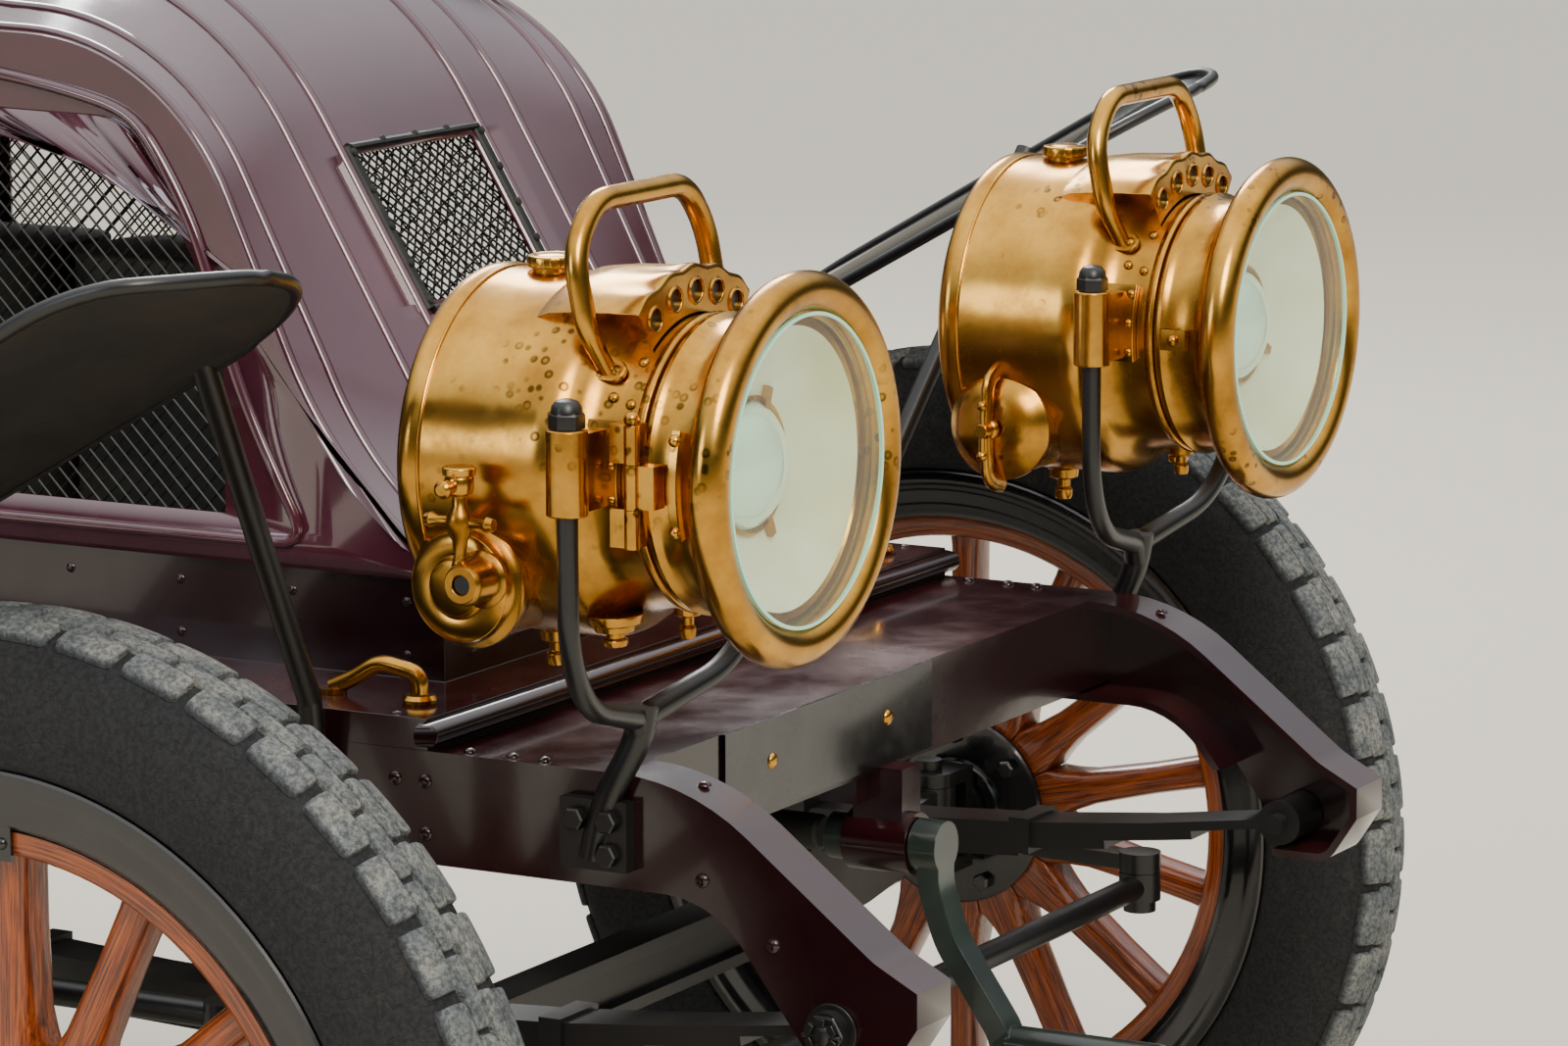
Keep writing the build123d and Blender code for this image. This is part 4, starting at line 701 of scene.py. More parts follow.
def cornered(points, run=12, arc=10):
    """A line of (u, v, radius) corners as stations: straight runs, and arcs that touch them."""
    p = np.array([q[:2] for q in points], float)
    out, last = [], p[0]
    for i in range(1, len(p) - 1):
        a, b = p[i - 1] - p[i], p[i + 1] - p[i]
        a, b, r = a / np.linalg.norm(a), b / np.linalg.norm(b), points[i][2]
        half = math.acos(a @ b) / 2
        first, end = p[i] + a * r / math.tan(half), p[i] + b * r / math.tan(half)
        middle = p[i] + (a + b) / np.linalg.norm(a + b) * r / math.sin(half)
        t, turn = np.linspace(0, 1, arc, endpoint=False)[:, None], math.pi - 2 * half
        out.append(np.linspace(last, first, run, endpoint=False))
        out.append(middle + ((first - middle) * np.sin((1 - t) * turn) + (end - middle) * np.sin(t * turn))
                   / math.sin(turn))
        last = end
    return np.concatenate(out + [np.linspace(last, p[-1], run)])


def rounded_path(points, r, n=6):
    """A line with its inner corners rounded to a radius, by n points each."""
    p = [np.asarray(q, float) for q in points]
    out = [p[0]]
    for a, b, c in zip(p[:-2], p[1:-1], p[2:]):
        u, w = a - b, c - b
        cut = min(r, 0.45 * np.linalg.norm(u), 0.45 * np.linalg.norm(w))
        first, last = b + u / np.linalg.norm(u) * cut, b + w / np.linalg.norm(w) * cut
        t = np.linspace(0, 1, n)[:, None]
        out += list((1 - t) ** 2 * first + 2 * t * (1 - t) * b + t ** 2 * last)
    return np.array(out + [p[-1]])


maroon, tree, shader = material("deep_maroon_coach_paint", "#3a141d", 0.10, Coat_Weight=1.0,
                                Coat_Roughness=0.05, Coat_IOR=1.6)
# Coach paint: deep maroon under many coats of hard varnish that mirror the sky strongly, brush waviness far
# under a millimetre, faint dust.
film = noise(tree, 5.0, 8.0, 0.6)
tone = ramp(tree, film.outputs["Fac"], (0.35, "#3d1723"), (0.60, "#4e2230"), (0.80, "#5f333c"))
tree.links.new(tone.outputs[0], shader.inputs["Base Color"])
dull = ramp(tree, film.outputs["Fac"], (0.45, 0.09), (0.80, 0.26))
tree.links.new(dull.outputs[0], shader.inputs["Roughness"])
wave = noise(tree, 16.0, 2.0)
bump = raised(tree, shader, wave.outputs["Fac"], 0.05, 0.002)
tree.links.new(bump.outputs[0], shader.inputs["Coat Normal"])

brass, tree, shader = material("aged_brass", "#c0935a", 0.24, 1.0)
# Old polished brass: golden brown with dull clouds, and patches of dark tarnish rings 4 to 8 mm across,
# paler in the middle; the finest scratches are bump.
spot = node(tree, "TexCoord")
cloud = noise(tree, 11.0, 8.0, 0.62)
tone = ramp(tree, cloud.outputs["Fac"], (0.30, "#8a5d1e"), (0.48, "#bb8736"), (0.62, "#d4a046"),
            (0.80, "#a97b31"))
bubbles = node(tree, "TexVoronoi", {"Scale": 95.0, "Randomness": 1.0}, {"Vector": spot.outputs["Object"]})
rings = ramp(tree, bubbles.outputs["Distance"], (0.10, 0.65), (0.22, 0.12), (0.30, 0.20), (0.38, 1.0))
patch = node(tree, "TexNoise", {"Scale": 7.0, "Detail": 4.0, "Roughness": 0.75, "W": 3.0},
             {"Vector": spot.outputs["Object"]}, noise_dimensions="4D")
many = ramp(tree, patch.outputs["Fac"], (0.52, 0.0), (0.60, 1.0))
some = node(tree, "Mix", {6: (1, 1, 1, 1)}, {0: many.outputs[0], 7: rings.outputs[0]}, data_type="RGBA")
mixed = node(tree, "Mix", {0: 0.9}, {6: tone.outputs[0], 7: some.outputs[2]}, data_type="RGBA",
             blend_type="MULTIPLY")
tree.links.new(mixed.outputs[2], shader.inputs["Base Color"])
dull = ramp(tree, cloud.outputs["Fac"], (0.30, 0.34), (0.55, 0.20), (0.80, 0.38))
tree.links.new(dull.outputs[0], shader.inputs["Roughness"])
scratch = noise(tree, 60.0, 6.0)
raised(tree, shader, scratch.outputs["Fac"], 0.10, 0.0008)

deck_screws = [(390, y, TRAY_TOP) for y in range(-100, 860, 120)]
sill_screws = [(280, y, 712) for y in range(-40, 760, 100)] + [(280, y, 752) for y in range(-40, 760, 100)]
front_screws = [(x, -72, z) for x in (-240, -120, 0, 120, 240) for z in (712, 752)]
edge_roll = tube([(-404, -128, 684), (-404, -135, 684), (404, -135, 684), (404, -128, 684)], 8.5, 12)
sill_extra = joined(both(heads(deck_screws, 4.2, 1.8, "z")), both(heads(sill_screws, 4.0, 1.8, "x")),
                    heads(front_screws, 4.0, 1.8, "-y"), edge_roll)
dressed("tray_and_sill", "bonnet_sill", "chassis", oxblood, 1.2, 35, sill_extra)
catch_line = [(352, -96, 696), (352, -96, 716), (352, -62, 722), (352, -40, 708), (352, -22, 700)]
catch_foot = turned_to(turned([(0, 0), (0, 12), (3, 13), (6, 11), (6, 0)], 24), "z")
catch = joined(tube(rounded_path(catch_line, 10), 6.5, 14), moved(catch_foot, (352, -96, 695.2)),
               moved(turned_to(rod(0, 4, 10, 24), "z"), (352, -22, 695.2)))
piece("bonnet_catches", both(catch), "chassis", brass, smooth=40)


# Bonnet: sheet steel in deep maroon, a flat raised middle panel between two ruled shoulders.
# Beads are pressed along its panels; black netting closes the side windows and, under a screwed frame, the
# sloping one.
BONNET_BASE, BONNET_X, BONNET_MID, BONNET_T = 770.0, 285.0, 130.0, 4.0
MID_LINE = [(-92, 770), (-10, 832, 150), (212, 1194, 280), (780, 1270)]
EDGE_LINE = [(-80, 770), (29, 846, 350), (162, 1152, 195), (780, 1165)]
WINDOW = [(115, 806), (115, 948, 40), (197, 1096, 45), (720, 1106)]
SLOPE_HALF, SLOPE_Y0, SLOPE_Y1 = 85.0, 59.0, 126.0
BORDER_HALF = SLOPE_HALF + 7


def bonnet_lines():
    """The middle panel's side profile and the side edge's, at stations that the rulings join."""
    lines = [cornered(line, 20, 16) for line in (MID_LINE, EDGE_LINE)]
    for y in (SLOPE_Y0, SLOPE_Y1):
        i = np.searchsorted(lines[0][:, 0], y)
        t = (y - lines[0][i - 1, 0]) / (lines[0][i, 0] - lines[0][i - 1, 0])
        lines = [np.insert(q, i, q[i - 1] * (1 - t) + q[i] * t, axis=0) for q in lines]
    return lines


def strip_between(a, b, rows):
    """A grid of straight rulings between two lines of points."""
    t = np.linspace(0, 1, rows)[:, None, None]
    v = a[None] * (1 - t) + b[None] * t
    return v.reshape(-1, 3), quads(rows, len(a), False, False), None


def resampled(points, n):
    """n points evenly along straight lines between points."""
    p = np.asarray(points, float)
    s = np.r_[0, np.cumsum(np.linalg.norm(np.diff(p, axis=0), axis=1))]
    t = np.linspace(0, s[-1], n)
    return np.stack([np.interp(t, s, p[:, k]) for k in range(p.shape[1])], -1)


def bonnet_skin():
    """The bonnet's sheet: a flat middle panel, two ruled shoulders and two flat sides, windows left out."""
    mid, edge = bonnet_lines()
    n = len(mid)
    at_mid = np.c_[np.full(n, BONNET_MID), mid]
    at_edge = np.c_[np.full(n, BONNET_X), edge]
    shoulder = strip_between(at_mid, at_edge, 3)
    # the middle panel, its slope window left out
    open_from, open_to = (np.searchsorted(mid[:, 0], y - 0.01) for y in (SLOPE_Y0, SLOPE_Y1))
    xs = np.array([-BONNET_MID, -SLOPE_HALF, 0, SLOPE_HALF, BONNET_MID])
    grid = np.stack([np.repeat(xs[:, None], n, 1), np.repeat(mid[None, :, 0], 5, 0),
                     np.repeat(mid[None, :, 1], 5, 0)], -1)
    faces = [q for q in quads(5, n, False, False).tolist()
             if not (q[0] // n in (1, 2) and open_from <= q[0] % n < open_to)]
    middle = (grid.reshape(-1, 3), faces, None)
    # the side panel: rulings from its outline in to the window's
    back = resampled([edge[-1], (780, BONNET_BASE)], 30)
    bottom = resampled([(780, BONNET_BASE), edge[0]], 60)
    outer = np.concatenate([edge[:-1], back[:-1], bottom[:-1]])
    inner = np.concatenate([resampled(cornered(WINDOW), n)[:-1],
                            resampled([(720, 1106), (720, 806)], 30)[:-1],
                            resampled([(720, 806), (115, 806)], 60)[:-1]])
    a = np.c_[np.full(len(outer), BONNET_X), outer]
    b = np.c_[np.full(len(inner), BONNET_X), inner]
    t = np.linspace(0, 1, 3)[:, None, None]
    panel = ((a[None] * (1 - t) + b[None] * t).reshape(-1, 3), quads(3, len(a), False, True), None)
    return joined(middle, both(shoulder), both(panel))


def clipped(a, b, polygon):
    """The part of a straight wire inside a convex (y, z) polygon that runs clockwise, or None."""
    a, b = np.asarray(a, float), np.asarray(b, float)
    first, last = 0.0, 1.0
    for p, q in zip(polygon, polygon[1:] + polygon[:1]):
        out = np.array([-(q[1] - p[1]), q[0] - p[0]])
        da, db = (a - p) @ out, (b - p) @ out
        if da > 0 and db > 0:
            return None
        if da > 0 or db > 0:
            t = da / (da - db)
            first, last = (max(first, t), last) if da > 0 else (first, min(last, t))
    return (a + (b - a) * first, a + (b - a) * last) if last > first else None


def wire_mesh(polygon, pitch):
    """Crossed wires over a polygon, pitch apart: each one's two ends, and the side of the mesh it lies on."""
    p = np.asarray(polygon, float)
    y0, y1, z0, z1 = p[:, 0].min(), p[:, 0].max(), p[:, 1].min(), p[:, 1].max()
    rise = z1 - z0
    found = []
    for sign in (1, -1):
        for k in np.arange(y0 - rise, y1 + rise, pitch):
            ends = clipped((k, z0), (k + sign * rise, z1), polygon)
            if ends is not None:
                found.append((ends[0], ends[1], sign))
    return found


bonnet_form = bonnet_skin()
piece("bonnet_shell", bonnet_form, "bonnet", maroon, ["bonnet"], smooth=32, solid=BONNET_T)
mid, edge = bonnet_lines()


def on_shoulder(share):
    """A line along the shoulder, a share of the way from the middle panel to the side edge."""
    m, e = [np.c_[np.full(len(q), x), q] for x, q in zip((BONNET_MID, BONNET_X), bonnet_lines())]
    return m * (1 - share) + e * share


side_bead = np.concatenate([curve([(700, 1124), (300, 1122), (229, 1109), (192, 1095), (169, 1069),
                                   (133, 1002), (109, 926), (80, 859), (54, 810)], 90),
                            [(50, 800), (52, 793), (60, 789), (80, 788), (725, 788), (735, 791), (739, 800),
                             (739, 1110), (736, 1120), (728, 1124)]])
bead_shell = [both(tube(on_shoulder(share), 4.6, 10, flat=0.6)) for share in (0.19, 0.72, 0.94)]
centre = np.c_[np.full(len(mid), 102.0), mid]
bead_shell.append(both(tube(centre, 4.5, 10, flat=0.7)))
bead_shell.append(both(tube(np.c_[np.full(len(side_bead), BONNET_X + 0.5), side_bead], 5.0, 10, loop=True)))
hinge_ears = both(joined(moved(rod(-12, 12, 7, 20), (90, 786, 1280)),
                         slab(80, 100, 748, 787, 1264, 1280)))
bead_shell.append(hinge_ears)
piece("bonnet_beads", joined(*bead_shell), "bonnet", maroon, smooth=40)

netting, tree, shader = material("black_wire_netting", "#131313", 0.45, 0.3)
# Woven iron wire under old black paint, dull where the paint has worn.
film = noise(tree, 40.0, 5.0)
tone = ramp(tree, film.outputs["Fac"], (0.40, "#101010"), (0.70, "#2b2823"))
tree.links.new(tone.outputs[0], shader.inputs["Base Color"])

WIRE_R, WINDOW_PITCH, SLOPE_PITCH = 0.9, 15.0, 11.0
wires = []
window_open = [(106, 797), (106, 950), (191, 1105), (728, 1115), (728, 797)]
for a, b, side in wire_mesh(window_open, WINDOW_PITCH):
    x = BONNET_X - BONNET_T - 1.6 + 0.8 * side
    wires.append(tube([(x, *a), (x, *b)], WIRE_R, 4))
wires = [both(joined(*wires))]
slope_b, slope_a = [mid[np.searchsorted(mid[:, 0], y - 0.01)] for y in (SLOPE_Y0, SLOPE_Y1)]
slope_run = slope_a - slope_b
run_len = float(np.linalg.norm(slope_run))
slope_run = slope_run / run_len
down = np.array([slope_run[1], -slope_run[0]])
slope_open = [(-BORDER_HALF, -8.0), (-BORDER_HALF, run_len + 8), (BORDER_HALF, run_len + 8),
              (BORDER_HALF, -8.0)]
for a, b, side in wire_mesh(slope_open, SLOPE_PITCH):
    ends = [(u, *(slope_b + slope_run * s + down * (BONNET_T + 1.8 + 0.7 * side))) for u, s in (a, b)]
    wires.append(tube(ends, WIRE_R, 4))
piece("wire_netting", joined(*wires), "bonnet", netting, ["bonnet_mesh"], smooth=60)

# the slope window's narrow frame and its screws
border = []
corners = [(-BORDER_HALF, -6), (BORDER_HALF, -6), (BORDER_HALF, run_len + 6), (-BORDER_HALF, run_len + 6)]
for start, end in zip(corners, corners[1:] + corners[:1]):
    ends = [(u, *(slope_b + slope_run * s - down * 1.2)) for u, s in (start, end)]
    border.append(tube(ends, 5.0, 8, flat=0.6))
screw = turned([(0, 0), (0, 4), (1.6, 3.2), (2.2, 0)], 12)
v = screw[0]
screw_places = [(u, s) for u in (-BORDER_HALF, BORDER_HALF) for s in np.linspace(0, run_len, 5)]
screw_places += [(u, s) for u in (-46, 0, 46) for s in (-6.0, run_len + 6.0)]
for u, s in screw_places:
    on_slope = slope_b + slope_run * s - down * 3.6 - down * v[:, :1] + slope_run * v[:, 2:]
    border.append((np.c_[u + v[:, 1], on_slope], screw[1], None))
piece("slope_window_frame", joined(*border), "bonnet", netting, smooth=40)


# Headlamps: spun and soldered brass drums that make their own acetylene, a pair mirrored left and right.
# Each has a domed carbide chamber across it below, a filler cap and a bent handle on top, and a vent box
# with a scalloped front and five eyelets.
LAMP = np.array([400.0, 0.0, 897.0])
NECK_R, BEZEL_R, BEZEL_T, GLASS_R, FORK_X, FORK_Y = 101.0, 122.0, 14.0, 108.0, 135.0, -330.0
CHAMBER, VALVE, PIN = np.array([(0.0, -240.0, -77.0), (149.0, -254.0, 0.0), (116.0, -369.0, 0.0)])
NOZZLE = np.array([0.0, -261.0, -69.0])


def around(shell, angle):
    """A shell turned about the lamp's own axis, by degrees from the top towards the car's side."""
    a = math.radians(angle)
    v = shell[0]
    x, z = v[:, 0] * math.cos(a) + v[:, 2] * math.sin(a), -v[:, 0] * math.sin(a) + v[:, 2] * math.cos(a)
    return np.stack([x, v[:, 1], z], -1), shell[1], shell[2]


def wrapped(shell, r):
    """A shell drawn flat (x across, y along, z up) bent round the drum: x becomes an arc at radius r."""
    v = shell[0]
    a = v[:, 0] / r
    return np.stack([(r + v[:, 2]) * np.sin(a), v[:, 1], (r + v[:, 2]) * np.cos(a)], -1), shell[1], None


def plate(outline, t):
    """A flat plate from an (x, y) outline, t thick upwards, with a softened top edge. Its faces fan from its
    middle, so the outline is one that is seen whole from there."""
    p, edge = np.asarray(outline, float), 1.2
    middle = np.repeat(p.mean(0)[None], len(p), 0)
    inner = middle + (p - middle) * (1 - edge / np.abs(p - middle).max())
    rows = [np.c_[ring, np.full(len(p), float(z))]
            for ring, z in ((middle, 0), (p, 0), (p, t - edge), (inner, t), (middle, t))]
    return np.concatenate(rows), quads(5, len(p), False, True), None


def round_rectangle(w, h, r):
    """The outline of a rectangle with rounded corners, about its middle."""
    a = np.linspace(0, np.pi / 2, 5)
    corner = np.stack([np.cos(a), np.sin(a)], -1) * r
    out = []
    for k, (sx, sy) in enumerate(((1, 1), (-1, 1), (-1, -1), (1, -1))):
        c, s = math.cos(k * math.pi / 2), math.sin(k * math.pi / 2)
        out.append(corner @ np.array([[c, s], [-s, c]]) + [sx * (w / 2 - r), sy * (h / 2 - r)])
    return np.concatenate(out)


def drum_shell():
    """The lamp's drum and neck, one profile turned about its axis: out along the skin and back inside."""
    outer = [(-188, 0), (-188, 40), (-189.5, 48), (-188, 56), (-187.5, 96), (-189, 104), (-187, 112),
             (-187, 119), (-188.6, 124), (-192, 127), (-197, 127.9), (-201, 127.4), (-204, 126),
             (-207, 125.5), (-250, 125.5), (-294, 125.5), (-302, 124.8), (-309, 122.2), (-315, 118),
             (-319.5, 112.5), (-325, 107.5), (-332, 104), (-341, 102.1), (-352, 101.3), (-359, 101.4),
             (-361.5, 103.4), (-364, 104.2), (-366.5, 103.4), (-367.6, 101.4), (-367.6, 98.4), (-345, 98.2),
             (-328, 100), (-317, 107), (-310, 117), (-298, 122.2), (-196, 122.2), (-193, 110), (-193, 0)]
    return turned(outer, 96, axis=1)


def pierced(half_w, below, above, r, depth, scallop):
    """One cell of the vent's front: a flat face (u across, v up) with a round eyelet let in. Its outer ring
    is the rectangle met by rays from the eyelet's middle, its top raised by scallop times cosine squared."""
    corners = [math.atan2(above, half_w), math.pi - math.atan2(above, half_w),
               math.pi + math.atan2(below, half_w), -math.atan2(below, half_w) + 2 * math.pi]
    a = np.unique(np.round(np.r_[np.linspace(0, 2 * np.pi, 24, endpoint=False), corners], 6))
    c, s = np.cos(a), np.sin(a)
    limit = np.where(s > 0, above, below)
    k = np.minimum(half_w / np.maximum(np.abs(c), 1e-9), limit / np.maximum(np.abs(s), 1e-9))
    u, v = c * k, s * k
    v = np.where(v > above - 0.01, v + scallop * (np.cos(np.pi * u / (2 * half_w)) ** 2), v)
    rows = [np.stack([u, v, np.zeros_like(u)], -1)]
    for q, w in ((r + 2.2, 0.0), (r + 1.6, -1.8), (r, -1.2), (r, depth), (0.0, depth)):
        rows.append(np.stack([c * q, s * q, np.full_like(u, w)], -1))
    return np.concatenate(rows), quads(len(rows), len(a), False, True), None


def vent_box():
    """The vent's body arches over the drum; its front face carries five eyelets under a scalloped edge."""
    pitch, eyelet_r = 14.0, 118.0
    # the arch over the drum: five arcs of metal, one for each eyelet, so the front reads as a scalloped edge
    a = np.radians(np.linspace(-2.5 * pitch, 2.5 * pitch, 61))
    wave = 2.6 * np.cos(np.pi * np.degrees(a) / pitch) ** 2
    rows = []
    for y, r, w in ((-352.5, 131.5, 1), (-351.5, 134.0, 1), (-349, 134.6, 0.9), (-335, 134.0, 0.2),
                    (-300, 132.5, 0), (-280, 130.0, 0), (-268, 125.0, 0)):
        reach_up = r + wave * w
        rows.append(np.stack([reach_up * np.sin(a), np.full_like(a, y), reach_up * np.cos(a)], -1))
    top = (np.concatenate(rows), quads(len(rows), len(a), False, False), None)
    cheeks = []
    for e in (0, -1):
        top_edge = np.array([row[e] for row in rows])
        to_neck = NECK_R / np.hypot(top_edge[:, 0], top_edge[:, 2])
        foot = top_edge * np.stack([to_neck, np.ones(len(rows)), to_neck], -1)
        cheeks.append(strip_between(top_edge, foot, 2))
    front = []
    cell = pierced(eyelet_r * math.radians(pitch / 2), 15.0, 13.4, 7.6, 11.0, 2.6)
    v, r = cell[0], eyelet_r + cell[0][:, 1]
    for k in range(-2, 3):
        angle = v[:, 0] / eyelet_r + math.radians(k * pitch)
        front.append((np.stack([r * np.sin(angle), -352.5 + v[:, 2], r * np.cos(angle)], -1), cell[1], None))
    return joined(top, *cheeks, *front)


def strap(width, y_len, arc_r, angle, t=2.4):
    """A small plate bent round the lamp at an angle from its top."""
    n = 9
    x = np.linspace(-width / 2, width / 2, n)
    rows = []
    for y, z in ((-y_len / 2, -2), (-y_len / 2, t - 0.8), (-y_len / 2 + 0.8, t), (y_len / 2 - 0.8, t),
                 (y_len / 2, t - 0.8), (y_len / 2, -2)):
        rows.append(np.stack([x, np.full(n, y), np.full(n, z)], -1))
    shell = (np.concatenate(rows), quads(6, n, False, False), None)
    return around(wrapped(shell, arc_r), angle)


def radial_heads(places, r, height):
    """Rivet heads standing out from the lamp's axis: places are (y, radius, angle from the top)."""
    one = turned_to(dome(r, height, (0, 0, 0)), "z")
    return joined(*[around(moved(one, (0, y, radius)), angle) for y, radius, angle in places])


def lamp_body():
    """All of a left lamp's fixed brass, about the lamp's own axis; +x is the outboard side."""
    shells = [drum_shell(), vent_box()]
    # the raised seam round the drum, near its back
    shells.append(moved(turned([(-1.2, 126.6), (0, 127.4), (1.2, 126.6), (1.2, 124), (-1.2, 124),
                                (-1.2, 126.6)], 96, axis=1), (0, -206, 0)))
    # filler cap: a knurled disc on a short neck
    neck = turned([(118, 0), (118, 16), (123, 15.2), (129, 15), (129, 0)], 40, axis=2)
    cap = turned([(127.5, 0), (127.5, 18), (128.5, 19.3), (134.2, 19.3), (135.6, 18.2), (136.4, 15),
                  (135.6, 12.5), (136.6, 10), (137, 0)], 44, axis=2)
    v = cap[0]
    ridge = np.where((np.arange(len(v)) % 2 == 0) & (np.hypot(v[:, 0], v[:, 1]) > 18.5), 0.955, 1.0)
    cap = (np.c_[v[:, :2] * ridge[:, None], v[:, 2]], cap[1], None)
    shells += [moved(neck, (0, CHAMBER[1], 0)), moved(cap, (0, CHAMBER[1], 0))]
    # the handle: a bent tube whose thinner ends stand on riveted feet at the neck's sides
    bow = rounded_path([(77, -329, 69), (89, -319, 98), (90, -309, 150), (62, -308, 183), (-62, -308, 183),
                        (-90, -309, 150), (-89, -319, 98), (-77, -329, 69)], 34, 9)
    thick = 8.4 - 2.2 * np.exp(-np.minimum(np.arange(len(bow)), np.arange(len(bow))[::-1]) / 5.0)
    shells.append(tube(bow, thick, 16))
    for s in (-1, 1):
        foot = plate(round_rectangle(17, 34, 8), 3.6)
        shells.append(around(wrapped(moved(foot, (0, -326, 0)), 104.0), s * 48))
        shells.append(radial_heads([(-318, 107.6, s * 48), (-336, 107.0, s * 48)], 4.2, 3.0))
        shells.append(radial_heads([(-350, 101.6, s * 41), (-338, 102.8, s * 58), (-352, 101.4, s * 60)],
                                   4.0, 2.6))
    # sockets for the fork, each on a riveted plate bent round the neck
    for s in (-1, 1):
        shells.append(moved(strap(60, 44, 104.2, s * 84, 3.0), (0, FORK_Y, 0)))
        barrel = turned([(-20, 0), (-20, 13.2), (-19, 14.4), (38, 14.4), (39, 13.2), (39, 0)], 28, axis=2)
        shells.append(moved(barrel, (s * FORK_X, FORK_Y, 0)))
        shells.append(slab(s * 101, s * 130, FORK_Y - 12.5, FORK_Y + 12.5, -17, 36))
        rivets = [(FORK_Y + d, 106.6, s * (84 + a)) for d in (-17.5, 17.5) for a in (-12.5, 0, 12.5)]
        shells.append(radial_heads(rivets, 3.6, 2.6))
    # hinge strips for the door, and their pins with ball heads
    for z0, z1 in ((-42, -15.4), (15.4, 42)):
        shells.append(moved(rod(z0, z1, 5.4, 18, axis=2), PIN))
        shells.append(slab(100.5, 117, -371.6, -352, z0, z1))
    shells.append(moved(ball(5.6), PIN + [0, 0, 46]))
    # the carbide chamber: a cylinder across the lamp, its loading cap inboard under a clamp bar
    chamber = [(-131, 0), (-131, 14), (-129.5, 24), (-126, 32), (-120.5, 38.5), (-118, 41), (-116, 43.4),
               (-111, 43.6), (-108, 42), (-104, 41), (100, 41), (104, 42), (108, 43.8), (116, 44.2),
               (119, 42.4), (121, 40), (125, 38.6), (129, 37.8), (131, 34), (131.6, 26), (130.6, 22),
               (132.5, 20), (135, 19), (136, 15), (136, 0)]
    shells.append(moved(turned(chamber, 64), CHAMBER))
    clamp = rounded_path([(-112, 0, -47), (-137, 0, -40), (-139, 0, 0), (-137, 0, 40), (-112, 0, 47)], 16)
    shells.append(moved(tube(clamp, 4.6, 12, flat=1.6), CHAMBER))
    shells.append(moved(turned([(-150, 0), (-150, 5.5), (-146, 7), (-141, 7), (-139, 9), (-135, 9),
                                (-135, 0)], 24), CHAMBER))
    tommy = [turned_to(rod(-20, 20, 2.6, 12), "z")]
    tommy += [moved(ball(4.4), (0, 0, z)) for z in (-20, 20)]
    shells.append(moved(joined(*tommy), CHAMBER + [-147, 0, 0]))
    # gas nozzle in the outer end, with its valve: a cross of small turned arms with ball ends
    nozzle = [(130, 0), (130, 19.5), (134, 20), (137, 17.5), (142, 15.5), (155, 15), (158, 14), (160.5, 12.5),
              (160.5, 7), (152, 6.4), (152, 0)]
    shells.append(moved(turned(nozzle, 40), NOZZLE))
    stem = turned([(-58, 0), (-58, 6), (-50, 4.2), (-40, 5.6), (-34, 8.6), (-28, 9.8), (-22, 8.6), (-17, 5.4),
                   (-10, 5), (-8, 9.2), (-4, 10), (2, 10), (3.6, 9.2), (4.4, 11.4), (9, 11.8), (10.2, 10.6),
                   (10.2, 0)], 28, axis=2)
    shells.append(moved(stem, VALVE))
    arm = turned([(-27, 0), (-27, 4.4), (-22, 5.8), (-17, 3.4), (-10, 3.6), (10, 3.6), (17, 3.4), (22, 5.8),
                  (27, 4.4), (27, 0)], 20, axis=1)
    shells.append(moved(arm, VALVE + [0, 0, -28]))
    screw = turned([(-6, 0), (-6, 4), (14, 4.2), (17, 6.4), (22, 6.4), (24, 4), (24, 0)], 20)
    shells.append(moved(screw, VALVE + [0, 0, -3]))
    for pipe, bend, r in (([(0, 0, -28), (-13, 6, -30), (-25, 11, -38)], 8, 4.4),
                          ([(0, 0, -52), (-1, -3, -62), (-3, -6, -69)], 4, 5.2)):
        shells.append(moved(tube(rounded_path(pipe, bend), r, 12), VALVE))
    # drains under the chamber and under the neck
    drain = turned([(-152, 0), (-152, 6.6), (-149, 7.4), (-144, 7.4), (-142, 5.6), (-136, 5.6), (-134, 12),
                    (-127, 12.6), (-125, 16), (-118, 17), (-114, 17), (-114, 0)], 28, axis=2)
    shells.append(moved(drain, (0, CHAMBER[1], 0)))
    shells.append(moved((drain[0] * [0.8, 0.8, 0.92], drain[1], None), (0, -345, 16)))
    shells.append(moved((drain[0] * [1.4, 1.1, 0.6], drain[1], None), (52, -318, -32)))
    return joined(*shells)


def ball(r):
    """A ball about its own middle."""
    a = np.linspace(-np.pi / 2, np.pi / 2, 9)
    return turned(np.stack([r * np.sin(a), r * np.cos(a)], -1), 16)


